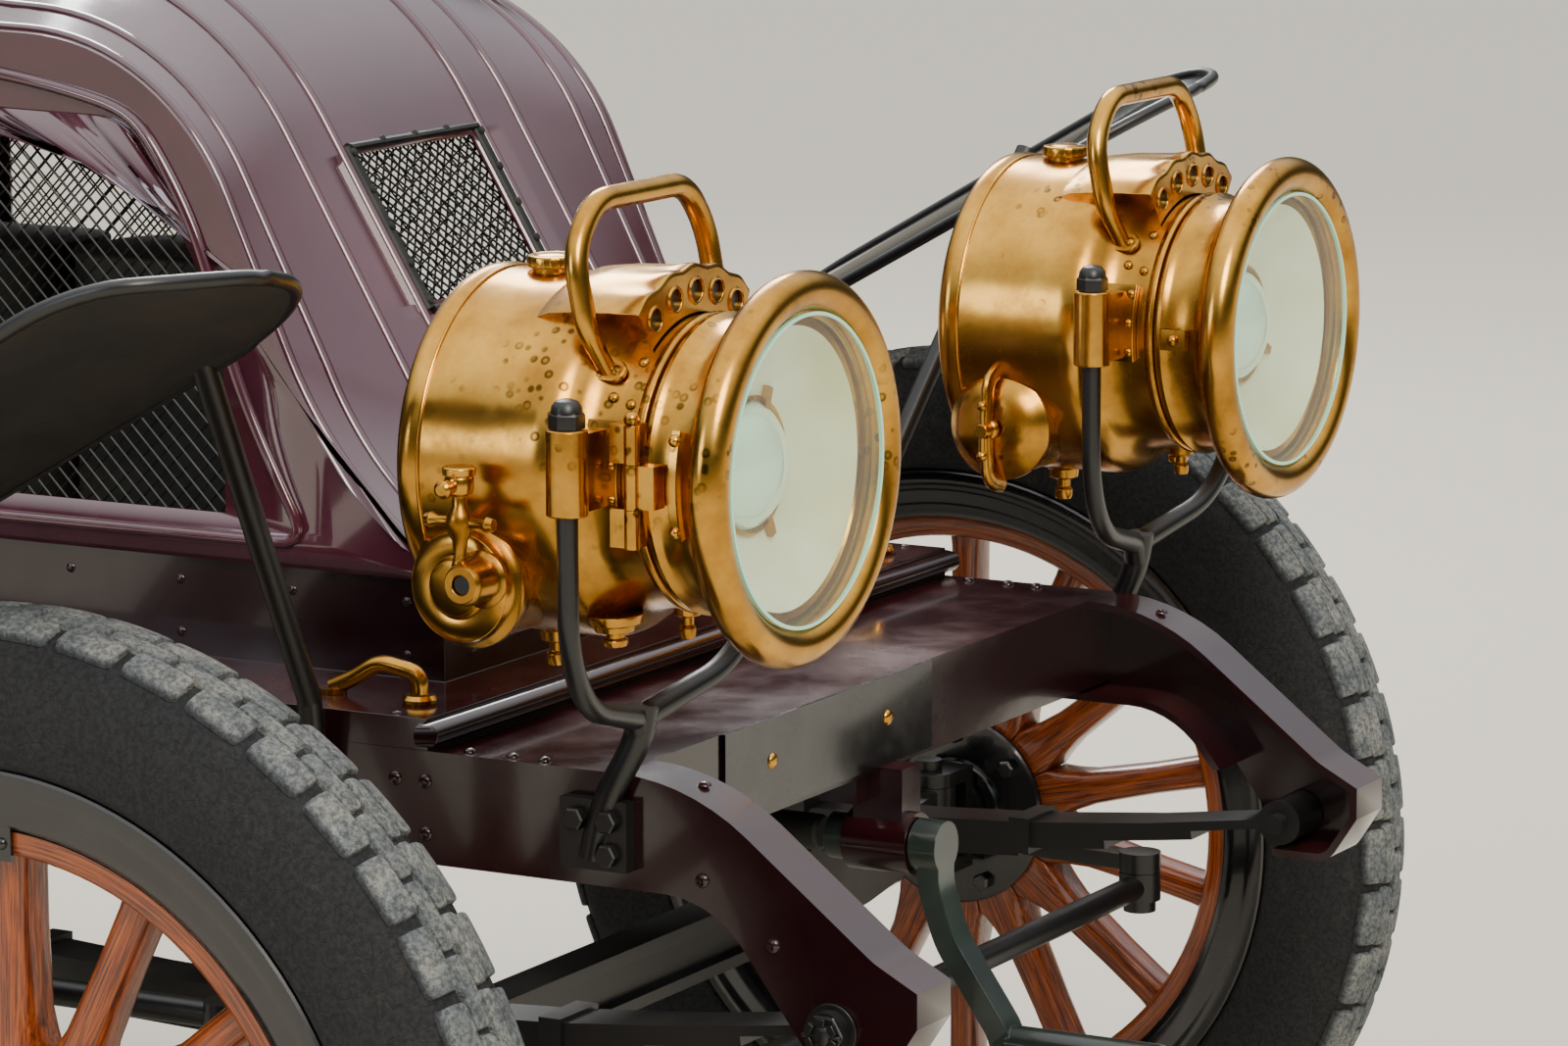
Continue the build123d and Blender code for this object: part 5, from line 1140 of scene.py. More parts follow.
def lamp_door_body():
    """The left lamp's door: a short neck, a flare and a fat rolled bezel, with hinge knuckle and catch."""
    neck = [(-369.2, 98.3), (-369.2, 102.4), (-371, 104.2), (-374, 104.4), (-376.5, 102.6), (-380, 101),
            (-392, 100.6), (-401, 101.4), (-407, 104.2), (-412, 109.5), (-416, 116), (-420, 118)]
    ring = [(-431 + BEZEL_T * math.sin(t), BEZEL_R + BEZEL_T * math.cos(t))
            for t in np.radians(np.linspace(0, 360, 41))]
    shells = [turned(neck + [(-420, 112), (-413, 108), (-405, 98.3), (-369.2, 98.3)], 96, axis=1),
              turned(ring, 96, axis=1)]
    shells.append(turned([(-424, 104.5), (-424, 113), (-431, 113), (-431, 108.6), (-429, 104.5),
                          (-424, 104.5)], 96, axis=1))
    shells.append(moved(rod(-15, 15, 5.4, 18, axis=2), PIN))
    shells.append(slab(102, 117, -386, -369.8, -14.6, 14.6))
    shells.append(moved(strap(74, 7.5, 102.4, 90, 4.5), (0, -394, 0)))
    shells.append(radial_heads([(-394, 106.5, 73), (-394, 106.5, 107)], 4.6, 4.2))
    shells.append(moved(strap(16, 22, 102.0, -90, 4.0), (0, -386, 0)))
    shells.append(radial_heads([(-386, 105.5, -90)], 5.0, 5.0))
    return joined(*shells)


def vent_hole_shade():
    """Dark discs just inside the vent's five eyelets and in the end of the gas nozzle: painted shade for the
    dark inside of these openings.
    """
    discs = [around(moved(rod(0, 1, 7.4, 20, axis=1), (0, -350.6, 117.8)), turn)
             for turn in (-28, -14, 0, 14, 28)]
    return joined(*discs, moved(rod(0, 0.6, 6.2, 20), NOZZLE + [157.5, 0, 0]))


# Dark discs in the lamp's vent eyelets and nozzle: painted shade for the holes' dark insides.
piece("lamp_vent_painted_shade", both(moved(vent_hole_shade(), LAMP)), "chassis", iron, smooth=30)
lamp_form = moved(lamp_body(), LAMP)
piece("lamp_left_brass", lamp_form, "chassis", brass, smooth=32, bevel=0.35)
piece("lamp_right_brass", other_side(lamp_form), "chassis", brass, ["lamp_drums"], smooth=32,
      bevel=0.35)
door_form = moved(lamp_door_body(), LAMP)
piece("lamp_door_left_brass", door_form, "lamp_door_left", brass, ["lamp_door_left"], smooth=36)
piece("lamp_door_right_brass", other_side(door_form), "lamp_door_right", brass,
      ["lamp_door_right"], smooth=36)


# Lamp glass and mirror: a plain disc of old plate glass whose edge shows pale green in the bezel. Behind it
# the door carries a cream bowl with a thick bull's-eye lens in its middle; the mirror stands in the drum.
pane, tree, shader = material("old_plate_glass", "#ffffff", 0.02)
# Glass a few millimetres thick: clear when faced, and a mirror of the sky at a slant; dust lies on it thinly.
clear = node(tree, "BsdfTransparent", {"Color": linear("#f6fcf7")})
gloss = node(tree, "BsdfGlossy", {"Roughness": 0.03, "Color": linear("#ffffff")})
slant = node(tree, "Fresnel", {"IOR": 1.45})
facing = node(tree, "NewGeometry")
front = node(tree, "Math", {0: 1.0}, {1: facing.outputs["Backfacing"]}, operation="SUBTRACT")
mirrored = node(tree, "Math", links={0: slant.outputs[0], 1: front.outputs[0]}, operation="MULTIPLY")
film = node(tree, "BsdfDiffuse", {"Color": linear("#e9e3cf")})
faint = node(tree, "MixShader", {0: 0.03}, {1: clear.outputs[0], 2: film.outputs[0]})
whole = node(tree, "MixShader", links={0: mirrored.outputs[0], 1: faint.outputs[0], 2: gloss.outputs[0]})
tree.links.new(whole.outputs[0], tree.nodes["Material Output"].inputs["Surface"])

edge_glass, tree, shader = material("pale_green_glass_edge", "#a8e0c4", 0.08, Coat_Weight=1.0)
# The ground edge of the disc shows pale green; the light it gathers is painted on as a faint glow.
shader.inputs["Emission Color"].default_value = linear("#9fe0c0")
shader.inputs["Emission Strength"].default_value = 0.25

glowing_cream, tree, shader = material("cream_bowl_painted_glow", "#ece6cd", 0.34, Coat_Weight=0.5, Coat_Roughness=0.1)
# Cream enamel on the bowl, stained straw yellow by heat; a faint glow, painted light, stands for what the
# lens throws back.
cloud = noise(tree, 9.0, 6.0)
tone = ramp(tree, cloud.outputs["Fac"], (0.34, "#d8cfa4"), (0.62, "#f0ecd8"))
tree.links.new(tone.outputs[0], shader.inputs["Base Color"])
tree.links.new(tone.outputs[0], shader.inputs["Emission Color"])
shader.inputs["Emission Strength"].default_value = 0.22

bulls_eye, tree, shader = material("bulls_eye_lens", "#e4f6ea", 0.02, 0.0, Coat_Weight=1.0)
# A thick glass dome: pale green white under a clear coat that mirrors the sky strongly, with a faint painted
# glow.
shader.inputs["Transmission Weight"].default_value = 0.25
shader.inputs["IOR"].default_value = 1.5
shader.inputs["Coat IOR"].default_value = 1.9
shader.inputs["Emission Color"].default_value = linear("#d2f2dd")
shader.inputs["Emission Strength"].default_value = 0.20

for side_name, flip in (("left", False), ("right", True)):
    def placed(shell):
        """A shell about the lamp's axis, set at the left or the right lamp."""
        shell = moved(shell, LAMP)
        return other_side(shell) if flip else shell

    disc = turned([(-440, 0), (-440, GLASS_R - 1.0), (-439, GLASS_R), (-436, GLASS_R), (-436, 0)], 96, axis=1)
    piece("lamp_pane_" + side_name, placed(disc), "lamp_door_" + side_name, pane,
          ["lamp_glass_" + side_name], smooth=30)
    rim = turned([(-440.6, GLASS_R - 2.2), (-440.6, GLASS_R + 0.4), (-437.5, GLASS_R + 0.4),
                  (-437.5, GLASS_R - 1.2), (-440.6, GLASS_R - 2.2)], 96, axis=1)
    piece("lamp_pane_edge_" + side_name, placed(rim), "lamp_door_" + side_name, edge_glass,
          smooth=30)
    bowl = [(-425, 98.0), (-424, 96.8), (-417, 91.5), (-409, 83), (-402, 72), (-397, 60), (-394.5, 50),
            (-394, 44.6)]
    bowl += [(-392.6, 44.6), (-393.2, 50), (-395.6, 60.6), (-400.6, 73), (-407.6, 84), (-415.6, 92.6),
             (-423, 98.1), (-425, 98.0)]
    piece("lamp_bowl_" + side_name, placed(turned(bowl, 96, axis=1)), "lamp_door_" + side_name, glowing_cream,
          smooth=50)
    bulge = turned([(-415, 0), (-414, 12), (-411, 24), (-406, 34), (-400, 41), (-396, 43.8), (-390, 44.4),
                    (-388, 44), (-388, 0)], 64, axis=1)
    piece("lamp_lens_" + side_name, placed(bulge), "lamp_door_" + side_name, bulls_eye, smooth=60)
    ring = turned([(-397, 44.5), (-398, 46.2), (-396.4, 48.4), (-392, 48.8), (-388, 46), (-388, 44.5),
                   (-397, 44.5)], 64, axis=1)
    clips = [around(slab(-3.2, 3.2, -400.5, -396, 39, 56), turn) for turn in (-20, 118, 205)]
    piece("lamp_lens_ring_" + side_name, placed(joined(ring, *clips)), "lamp_door_" + side_name, brass,
          smooth=40)
    # The drum's mirror dish: the same cream, whose painted glow takes the place of a mirror's reflection.
    dish = [(-322, 97), (-316, 90), (-309, 76), (-304.5, 58), (-302.5, 36), (-302, 0)]
    dish += [(-300.5, 0), (-301, 36), (-303, 58), (-307.5, 77), (-314.5, 92), (-321, 98.5), (-322, 97)]
    piece("lamp_dish_" + side_name, placed(turned(dish, 72, axis=1)), "chassis", glowing_cream,
          ["lamp_mirrors"] if flip else [], smooth=50)
    burner = joined(tube([(0, -336, -97), (0, -336, -24)], 4.0, 12),
                    tube(rounded_path([(-14, -336, 6), (-13, -336, -14), (0, -336, -24), (13, -336, -14),
                                       (14, -336, 6)], 8), 2.6, 10))
    piece("lamp_burner_" + side_name, placed(burner), "chassis", brass, smooth=40)


# Lamp forks: round iron bars forged into a Y under each lamp, their tips through the sockets under black
# cap nuts, the stem flattened where three bolts hold it to the dumb iron.
def fork_shell():
    """The left lamp's fork: two bent arms, the stem, its flat with three bolts, and two cap nuts."""
    cx, cz = LAMP[0], LAMP[2]
    arm = cornered([(FORK_X, cz + 40), (FORK_X, 745, 84), (8, 715, 8), (1, 700)], 10, 22)
    run = np.clip(1 - arm[:, 0] / FORK_X, 0, 1)
    shells = []
    for s in (-1, 1):
        path = np.stack([cx + s * arm[:, 0], FORK_Y + 24 * run, arm[:, 1]], -1)
        shells.append(tube(path, 7.4 + 1.8 * run, 16))
    stem = curve([(cx, FORK_Y + 20, 722), (cx + 2, FORK_Y + 25, 698), (cx + 7, -291, 668),
                  (cx + 8, -277, 634), (cx + 8, -272, 612)], 24)
    shells.append(tube(stem, np.linspace(10.5, 9.5, 24), 16))
    shells.append(slab(400.3, 412, -302, -248, 604, 654))
    shells.append(heads([(412, -288, 640), (412, -262, 640), (412, -288, 616)], 8.5, 7.5, "x", hex_nut))
    for s in (-1, 1):
        nut = turned([(0, 0), (0, 12.5), (9, 12.5), (11, 11)], 6, axis=2)
        cap = turned([(11, 11), (15, 10.4), (18.5, 7.6), (20, 3), (20, 0)], 20, axis=2)
        shells.append(moved(joined(nut, cap), (cx + s * FORK_X, FORK_Y, cz + 39.5)))
    return joined(*shells)


piece("lamp_fork_irons", both(fork_shell()), "chassis", iron, ["lamp_forks"], smooth=36,
      bevel=0.4)


# Front plate: a blank plate of black enamelled steel, hung from the tray's front edge.
# Two round-headed brass screws hold it near its top.
dressed("front_plate_blank", "front_plate", "chassis", enamel, 0.6)
plate_screws = heads([(-180, -290, 640), (0, -290, 640)], 6.2, 3.0, "-y")
piece("front_plate_screws", plate_screws, "chassis", brass, smooth=40)


# Starting handle: a forged crank with a turned grip, that comes out through the front cross member.
# Its dark green-grey enamel was put on by brush.
grey_green, tree, shader = material("green_grey_enamel", "#1d2723", 0.30, Coat_Weight=0.3)
# Green grey, a little paler in patches where hands have rubbed it.
film = noise(tree, 18.0, 6.0)
tone = ramp(tree, film.outputs["Fac"], (0.40, "#18211e"), (0.70, "#2c3834"))
tree.links.new(tone.outputs[0], shader.inputs["Base Color"])
dressed("starting_handle", "crank", "crank", grey_green, 1.6, 40)


# Wings and running boards: sheet steel with a wire-rolled edge, black gloss above and dull below.
# The front wings twist outwards as they rise, so their outer edges stand higher; round iron stays carry them.
WING_IN, WING_OUT, WING_T, BOARD_Z = 600.0, 820.0, 4.0, 400.0
WING_INNER = [(-207, 1034), (-126, 990, 300), (394, 697, 900), (617, 400, 160), (700, 400)]
WING_OUTER = [(-213, 1066), (-124, 1045, 300), (327, 786, 900), (617, 400, 160), (700, 400)]
REAR_WING = [(2200, 400), (2280, 400, 60), (2400, 918, 430), (3067, 918, 430), (3250, 700)]


def wing_shell(inner, outer, round_front, round_back):
    """A wing's sheet, ruled between its two edge lines with 4 mm of crown across, and the line of its rim.
    Rounded ends narrow the sheet as a half ellipse does."""
    a, b = cornered(inner, 24, 26), cornered(outer, 24, 26)
    n = len(a)
    run = np.r_[0, np.cumsum(np.linalg.norm(np.diff((a + b) / 2, axis=0), axis=1))]
    share = np.ones(n)
    for near_end, r in ((run, round_front), (run[-1] - run, round_back)):
        if r:
            share = np.minimum(share, np.sqrt(np.maximum(1 - np.clip(1 - near_end / r, 0, 1) ** 2.2, 0.0)))
    across = np.linspace(-1, 1, 13)[:, None]
    x = (WING_IN + WING_OUT) / 2 + (WING_OUT - WING_IN) / 2 * share[None] * across
    t = (1 + share[None] * across)[..., None] / 2
    yz = a[None] * (1 - t) + b[None] * t
    v = np.concatenate([x[..., None], yz], -1)
    v[..., 2] += 4.0 * (1 - across ** 2) * share[None]
    rim = np.concatenate([v[0], v[1:-1, -1], v[-1][::-1], v[1:-1, 0][::-1]])
    keep = np.r_[True, np.linalg.norm(np.diff(rim, axis=0), axis=1) > 0.5]
    return (v.reshape(-1, 3), quads(13, n, False, False), None), rim[keep]


wing_paint, tree, shader = material("black_wing_enamel", "#0a0a0c", 0.18, Coat_Weight=0.8,
                                    Coat_Roughness=0.06)
# Black enamel, glossy above under a film of dust, and dull with dried mud below.
film = noise(tree, 10.0, 8.0, 0.68)
facing = node(tree, "NewGeometry")
rise = node(tree, "SeparateXYZ", links={0: facing.outputs["True Normal"]})
below = node(tree, "MapRange", {"From Min": 0.1, "From Max": -0.3}, {0: rise.outputs[2]})
tone = ramp(tree, film.outputs["Fac"], (0.45, "#0a0a0c"), (0.80, "#26231f"))
mud = ramp(tree, film.outputs["Fac"], (0.40, "#0b0a09"), (0.75, "#2b2119"))
mixed = node(tree, "Mix", links={0: below.outputs[0], 6: tone.outputs[0], 7: mud.outputs[0]},
             data_type="RGBA")
tree.links.new(mixed.outputs[2], shader.inputs["Base Color"])
dull = node(tree, "Mix", {2: 0.2, 3: 0.8}, {0: below.outputs[0]})
tree.links.new(dull.outputs[0], shader.inputs["Roughness"])
shine = node(tree, "Math", {0: 1.0}, {1: below.outputs[0]}, operation="SUBTRACT")
tree.links.new(shine.outputs[0], shader.inputs["Coat Weight"])

front_sheet, front_rim = wing_shell(WING_INNER, WING_OUTER, 112.0, 0.0)
rear_sheet, rear_rim = wing_shell(REAR_WING, REAR_WING, 0.0, 110.0)
piece("wing_sheets", both(joined(front_sheet, rear_sheet)), "chassis", wing_paint, ["wings"],
      smooth=50, solid=WING_T)
rolls = [tube(resampled(e, 260)[:-1], 5.5, 10, loop=True) for e in (front_rim, rear_rim)]
piece("wing_rolled_edges", both(joined(*rolls)), "chassis", iron, smooth=60)
dressed("wing_stay_irons", "wing_stays", "chassis", iron, 0.0, 45)

mat_rubber, tree, shader = material("ribbed_step_rubber", "#2a2826", 0.75)
# Ribbed rubber mats, 12.6 mm from rib to rib, grey with foot dust.
grit = noise(tree, 50.0, 6.0)
tone = ramp(tree, grit.outputs["Fac"], (0.40, "#232221"), (0.70, "#4a463f"))
tree.links.new(tone.outputs[0], shader.inputs["Base Color"])
rib_profile = np.array([(0, 0), (0, 1.6), (1.6, 3.0), (5.6, 3.0), (7.2, 1.6), (7.2, 0)])
ribs = []
for k in range(14):
    x0 = 622 + 12.6 * k
    section = np.stack([x0 + rib_profile[:, 0], np.zeros(6), BOARD_Z + 4 + rib_profile[:, 1]], -1)
    ends = [section + [0, y, 0] for y in (724.0, 2176.0)]
    ribs.append((np.concatenate(ends), quads(2, 6, False, True), None))
piece("step_mats", both(joined(slab(616, 804, 720, 2180, BOARD_Z + 3.9, BOARD_Z + 5.4), *ribs)), "chassis",
      mat_rubber, smooth=40)
strips = tube(rounded_path([(612, 716, BOARD_Z + 5), (808, 716, BOARD_Z + 5), (808, 2184, BOARD_Z + 5),
                            (612, 2184, BOARD_Z + 5), (612, 717, BOARD_Z + 5)], 12), 4.6, 10, flat=0.8)
piece("step_brass_edges", both(strips), "chassis", brass, smooth=40)


# Body: wooden-framed panels in deep maroon, split at the doors, with raised mouldings along the panels and a
# padded leather roll along the top edges. Brass handles and hinges on the doors.
SEAT_X, TUB_X, WALL = 560.0, 580.0, 22.0
TUB_Y0, DOOR_Y0, DOOR_Y1, TUB_Y1 = 1860.0, 1900.0, 2240.0, 2900.0
SEAT_EDGE = cornered([(1430, 990), (1505, 1000, 70), (1630, 1245, 110), (1770, 1275, 90), (1820, 1460, 30),
                      (1861, 1460)])
TUB_EDGE = cornered([(2240, 1180), (2330, 1180, 150), (2510, 1300, 110), (2695, 1315, 80), (2755, 1500, 35),
                     (2901, 1500)])


def body_loop(half, y1, r, y_start):
    """A line along a body shell's wall from its left front round the back to its right front."""
    a = np.radians(np.linspace(0, 90, 13))
    corner = np.stack([half - r + r * np.cos(a), y1 - r + r * np.sin(a)], -1)
    side = np.stack([np.full(60, half), np.linspace(y_start, y1 - r, 60)], -1)
    rear = np.stack([np.linspace(half - r, 0, 20), np.full(20, y1)], -1)
    one = np.concatenate([side[:-1], corner[:-1], rear])
    return np.concatenate([one, (one * [-1, 1])[::-1][1:]])


def top_roll(edge_line, half, y1, r, inset, size):
    """The padded roll on a shell's top edge: it follows the plan, and its height follows the edge line."""
    line = body_loop(half - inset, y1 - inset, r - inset, edge_line[0][0])
    z = np.interp(line[:, 1], edge_line[:, 0], edge_line[:, 1])
    path = resampled(np.c_[line, z + 2], 220)
    return tube(path, size, 12)


leather, tree, shader = material("black_buttoned_leather", "#15110f", 0.42, Specular_IOR_Level=0.45)
# Hide, dyed black and rubbed brown on its high places, with a pebbled grain of about 1.6 mm and fine creases.
spot = node(tree, "TexCoord")
pebble = node(tree, "TexVoronoi", {"Scale": 620.0}, {"Vector": spot.outputs["Object"]},
              feature="DISTANCE_TO_EDGE")
crease = node(tree, "TexNoise", {"Scale": 34.0, "Detail": 8.0, "Roughness": 0.6, "Distortion": 1.2},
              {"Vector": spot.outputs["Object"]})
tone = ramp(tree, crease.outputs["Fac"], (0.35, "#100c0b"), (0.60, "#1d1613"), (0.80, "#33251d"))
tree.links.new(tone.outputs[0], shader.inputs["Base Color"])
dull = ramp(tree, crease.outputs["Fac"], (0.35, 0.34), (0.70, 0.56))
tree.links.new(dull.outputs[0], shader.inputs["Roughness"])
relief = node(tree, "Math", {1: 0.35}, {0: crease.outputs["Fac"], 2: pebble.outputs["Distance"]},
              operation="MULTIPLY_ADD")
raised(tree, shader, relief.outputs[0], 0.45, 0.0012)


def bead(points):
    """A half-round moulding set on a panel's outer face along a line with rounded corners."""
    return tube(rounded_path(points, 30), 5.0, 8, flat=0.7)


def framed(x, y0, y1, z0, z1):
    """The moulding round a panel's edges: up at its front, back along its top, down and forward again."""
    return bead([(x, y0, z0), (x, y0, z1), (x, y1, z1), (x, y1, z0), (x, y0 + 2, z0)])


on_seat, on_tub = SEAT_X + 0.5, TUB_X + 0.5
seat_beads = both(joined(framed(on_seat, 1448, 1840, 730, 972),
                         bead([(on_seat, 1450, 990), (on_seat, 1760, 990)])))
tub_beads = both(joined(framed(on_tub, 2262, 2715, 730, 985),
                        bead([(on_tub, 2262, 1010), (on_tub, 2715, 1010)])))
round_back = body_loop(on_tub, TUB_Y1 + 0.5, 180, 2715)
tub_beads = joined(tub_beads, *[tube(np.c_[round_back, np.full(len(round_back), z)], 5.0, 8)
                                for z in (1010, 728)])
dressed("seat_box_panels", "seat_box", "chassis", maroon, 2.0, 35, seat_beads)
dressed("tub_panels", "tub", "chassis", maroon, 2.0, 35, tub_beads)
rolls = joined(top_roll(SEAT_EDGE, SEAT_X, TUB_Y0, 90, WALL / 2, 15),
               top_roll(TUB_EDGE, TUB_X, TUB_Y1, 180, WALL / 2, 16))
piece("top_edge_rolls", rolls, "chassis", leather, smooth=60)
for tag, s in (("left", 1), ("right", -1)):
    door_beads = framed(on_tub, 1922, 2218, 745, 1155)
    if s < 0:
        door_beads = other_side(door_beads)
    dressed("door_%s_panel" % tag, "door_" + tag, "door_" + tag, maroon, 1.5, 35, door_beads)
    stalk = turned([(0, 0), (0, 13), (2, 14), (4, 11), (6, 8.4), (22, 7.6), (25, 9.4), (27, 9), (27, 0)], 24)
    lever = tube([(TUB_X + 21, DOOR_Y1 - 43, 1100), (TUB_X + 22, DOOR_Y1 - 60, 1100),
                  (TUB_X + 21, DOOR_Y1 - 82, 1100), (TUB_X + 19, DOOR_Y1 - 98, 1101)], [7, 8.4, 8.6, 9.4], 14)
    hinge_z = (830, 1080)
    pins = [moved(rod(-10.2, 10.2, 7, 20, axis=2), (TUB_X + 7, DOOR_Y0 - 4, z)) for z in hinge_z]
    straps = [slab(TUB_X + 0.4, TUB_X + 5, DOOR_Y0 + 6, DOOR_Y0 + 42, z - 9, z + 9) for z in hinge_z]
    screws = heads([(TUB_X + 5, DOOR_Y0 + y, z) for y in (18, 34) for z in hinge_z], 3.4, 1.6)
    fittings = joined(moved(stalk, (TUB_X, DOOR_Y1 - 60, 1100)), lever, *pins, *straps, screws)
    piece("door_%s_brass" % tag, fittings if s > 0 else other_side(fittings), "door_" + tag, brass,
          smooth=40)


# Radiator: a brass case on the dash, behind the bonnet.
# Its front shows upright iron tubes through thin gill plates, 8 mm apart.
dressed("radiator_core", "radiator", "chassis", brass, 2.0, 35)
CORE_Y, CORE_LOW, CORE_HIGH, CORE_HALF = 797.0, 706.0, 1106.0, 310.0
tubes = [moved(rod(CORE_LOW, CORE_HIGH, 5, 12, axis=2), (x, CORE_Y, 0))
         for x in np.linspace(-CORE_HALF, CORE_HALF, 29)]
gills = [slab(-CORE_HALF - 8, CORE_HALF + 8, CORE_Y - 7, CORE_Y + 1, z, z + 0.8)
         for z in np.arange(CORE_LOW + 4, CORE_HIGH, 8.0)]
piece("radiator_gills", joined(*tubes, *gills), "chassis", cast, smooth=40)


# Dash: a mahogany board across the car behind the radiator, deeply varnished.
# Its grain runs straight from side to side.
mahogany, tree, shader = material("varnished_mahogany", "#4a1f10", 0.25, Coat_Weight=0.8, Coat_Roughness=0.08)
spot = node(tree, "TexCoord")
along = node(tree, "Mapping", {"Scale": (4.0, 60.0, 60.0)}, {"Vector": spot.outputs["Object"]})
grain = node(tree, "TexNoise", {"Scale": 1.2, "Detail": 9.0, "Roughness": 0.62, "Distortion": 0.6},
             {"Vector": along.outputs[0]})
tone = ramp(tree, grain.outputs["Fac"], (0.30, "#220a05"), (0.50, "#4c1e0e"), (0.72, "#7a3a1c"))
tree.links.new(tone.outputs[0], shader.inputs["Base Color"])
dressed("dash_board", "dash", "chassis", mahogany, 3.0, 35)


# Steering: a raked brass column, and a wooden rim with finger grips on four brass arms.
# The arms run out under the rim from a boss that one nut holds on the column.
dressed("steering_column_tube", "steering_column", "chassis", brass, 1.0, 35)
dark_wood, tree, shader = material("dark_rim_wood", "#2a140b", 0.28, Coat_Weight=0.6)
# Dark hardwood, polished by gloves, with short irregular grain.
spot = node(tree, "TexCoord")
grain = node(tree, "TexNoise", {"Scale": 40.0, "Detail": 7.0, "Distortion": 0.8},
             {"Vector": spot.outputs["Object"]})
tone = ramp(tree, grain.outputs["Fac"], (0.35, "#1a0b06"), (0.70, "#4a2614"))
tree.links.new(tone.outputs[0], shader.inputs["Base Color"])
STEER, RAKE, STEER_R = np.array([-300.0, 1330.0, 1320.0]), 60.0, 190.0


def on_column(shell):
    """A shell drawn about its own Z axis, set on the raked steering column."""
    a = math.radians(-(90 - RAKE))
    v = shell[0]
    y, z = v[:, 1] * math.cos(a) - v[:, 2] * math.sin(a), v[:, 1] * math.sin(a) + v[:, 2] * math.cos(a)
    return np.stack([v[:, 0], y, z], -1) + STEER, shell[1], shell[2]


a = np.linspace(0, 2 * np.pi, 96, endpoint=False)
rim_r = 12.6 + 0.8 * np.cos(24 * a)
rim_path = np.stack([STEER_R * np.cos(a), STEER_R * np.sin(a), np.zeros(96)], -1)
piece("steering_rim", on_column(tube(rim_path, rim_r, 18, loop=True)), "steering_wheel", dark_wood,
      ["steering_wheel"], smooth=60)
arms = []
for k in range(4):
    angle = math.radians(90 * k + 45)
    out = np.array([math.cos(angle), math.sin(angle), 0.0])
    path = [out * 20 + [0, 0, -6], out * 60 + [0, 0, -9], out * 120 + [0, 0, -5], out * 182]
    arms.append(tube(path, [9, 7.5, 6.2, 6.8], 14, flat=0.62))
boss = turned([(-100, 0), (-100, 10), (-24, 10), (-22, 22), (-18, 26), (10, 26), (14, 23), (18, 14), (22, 12),
               (22, 0)], 40, axis=2)
boss_nut = moved(turned([(0, 0), (0, 13), (10, 13), (12, 11), (12, 0)], 6, axis=2), (0, 0, 20))
piece("steering_arms", on_column(joined(boss, boss_nut, *arms)), "steering_wheel", brass,
      smooth=38, bevel=0.4)


# Seats: buttoned black leather over springs and horsehair, two cushions and two backs.
# Each pad is blown up as cloth from a slightly smaller block, held on its bottom or back and at its buttons.
CELL, SLACK, BUTTON_EDGE, BUTTON_DENT = 12.0, 9.0, 62.0, 20.0
SWELL, PRESSURE, FRAMES = 0.022, 4.0, 20


def pad_block(size, corner):
    """A block of (width, depth, height) as a closed mesh of small squares, with its upright edges rounded:
    all four on a cushion, the two at the rear on a back.
    A point off by (a, b) from an edge's centre is drawn in by max(a, b) / |(a, b)|, square to circle."""
    w, d, h = size
    nx, ny, nz = (max(int(round(s / CELL)), 3) for s in size)
    grids = []
    for axis, m, n in ((2, nx, ny), (1, nx, nz), (0, ny, nz)):
        u, v = np.meshgrid(np.linspace(-0.5, 0.5, m + 1), np.linspace(-0.5, 0.5, n + 1), indexing="ij")
        for sign in (-1, 1):
            p = np.empty(u.shape + (3,))
            p[..., axis] = sign * 0.5
            p[..., [k for k in range(3) if k != axis]] = np.stack([u, v], -1)
            grids.append(((p * [w, d, h]).reshape(-1, 3), quads(m + 1, n + 1, False, False), None))
    v, f = joined(*grids)[:2]
    r = min(corner, d * 0.49)
    inside = np.stack([w / 2 - r - np.abs(v[:, 0]), d / 2 - r - np.abs(v[:, 1])], -1)
    out = (inside < 0).all(1) & ((v[:, 1] > 0) | (corner < 60))
    off = -inside[out]
    scale = off.max(1) / np.maximum(np.hypot(off[:, 0], off[:, 1]), 1e-6)
    v[out, 0] = np.sign(v[out, 0]) * (w / 2 - r + off[:, 0] * scale)
    v[out, 1] = np.sign(v[out, 1]) * (d / 2 - r + off[:, 1] * scale)
    return v, f


def button_places(width, length, columns, rows):
    """Staggered rows of buttons on a face of width by length, about its middle: odd rows have one fewer."""
    places = [((i + 0.5 * (j % 2)) / (columns - 1) - 0.5, j / (rows - 1) - 0.5)
              for j in range(rows) for i in range(columns - j % 2)]
    return np.array(places) * [width - 2 * BUTTON_EDGE, length - 2 * BUTTON_EDGE]


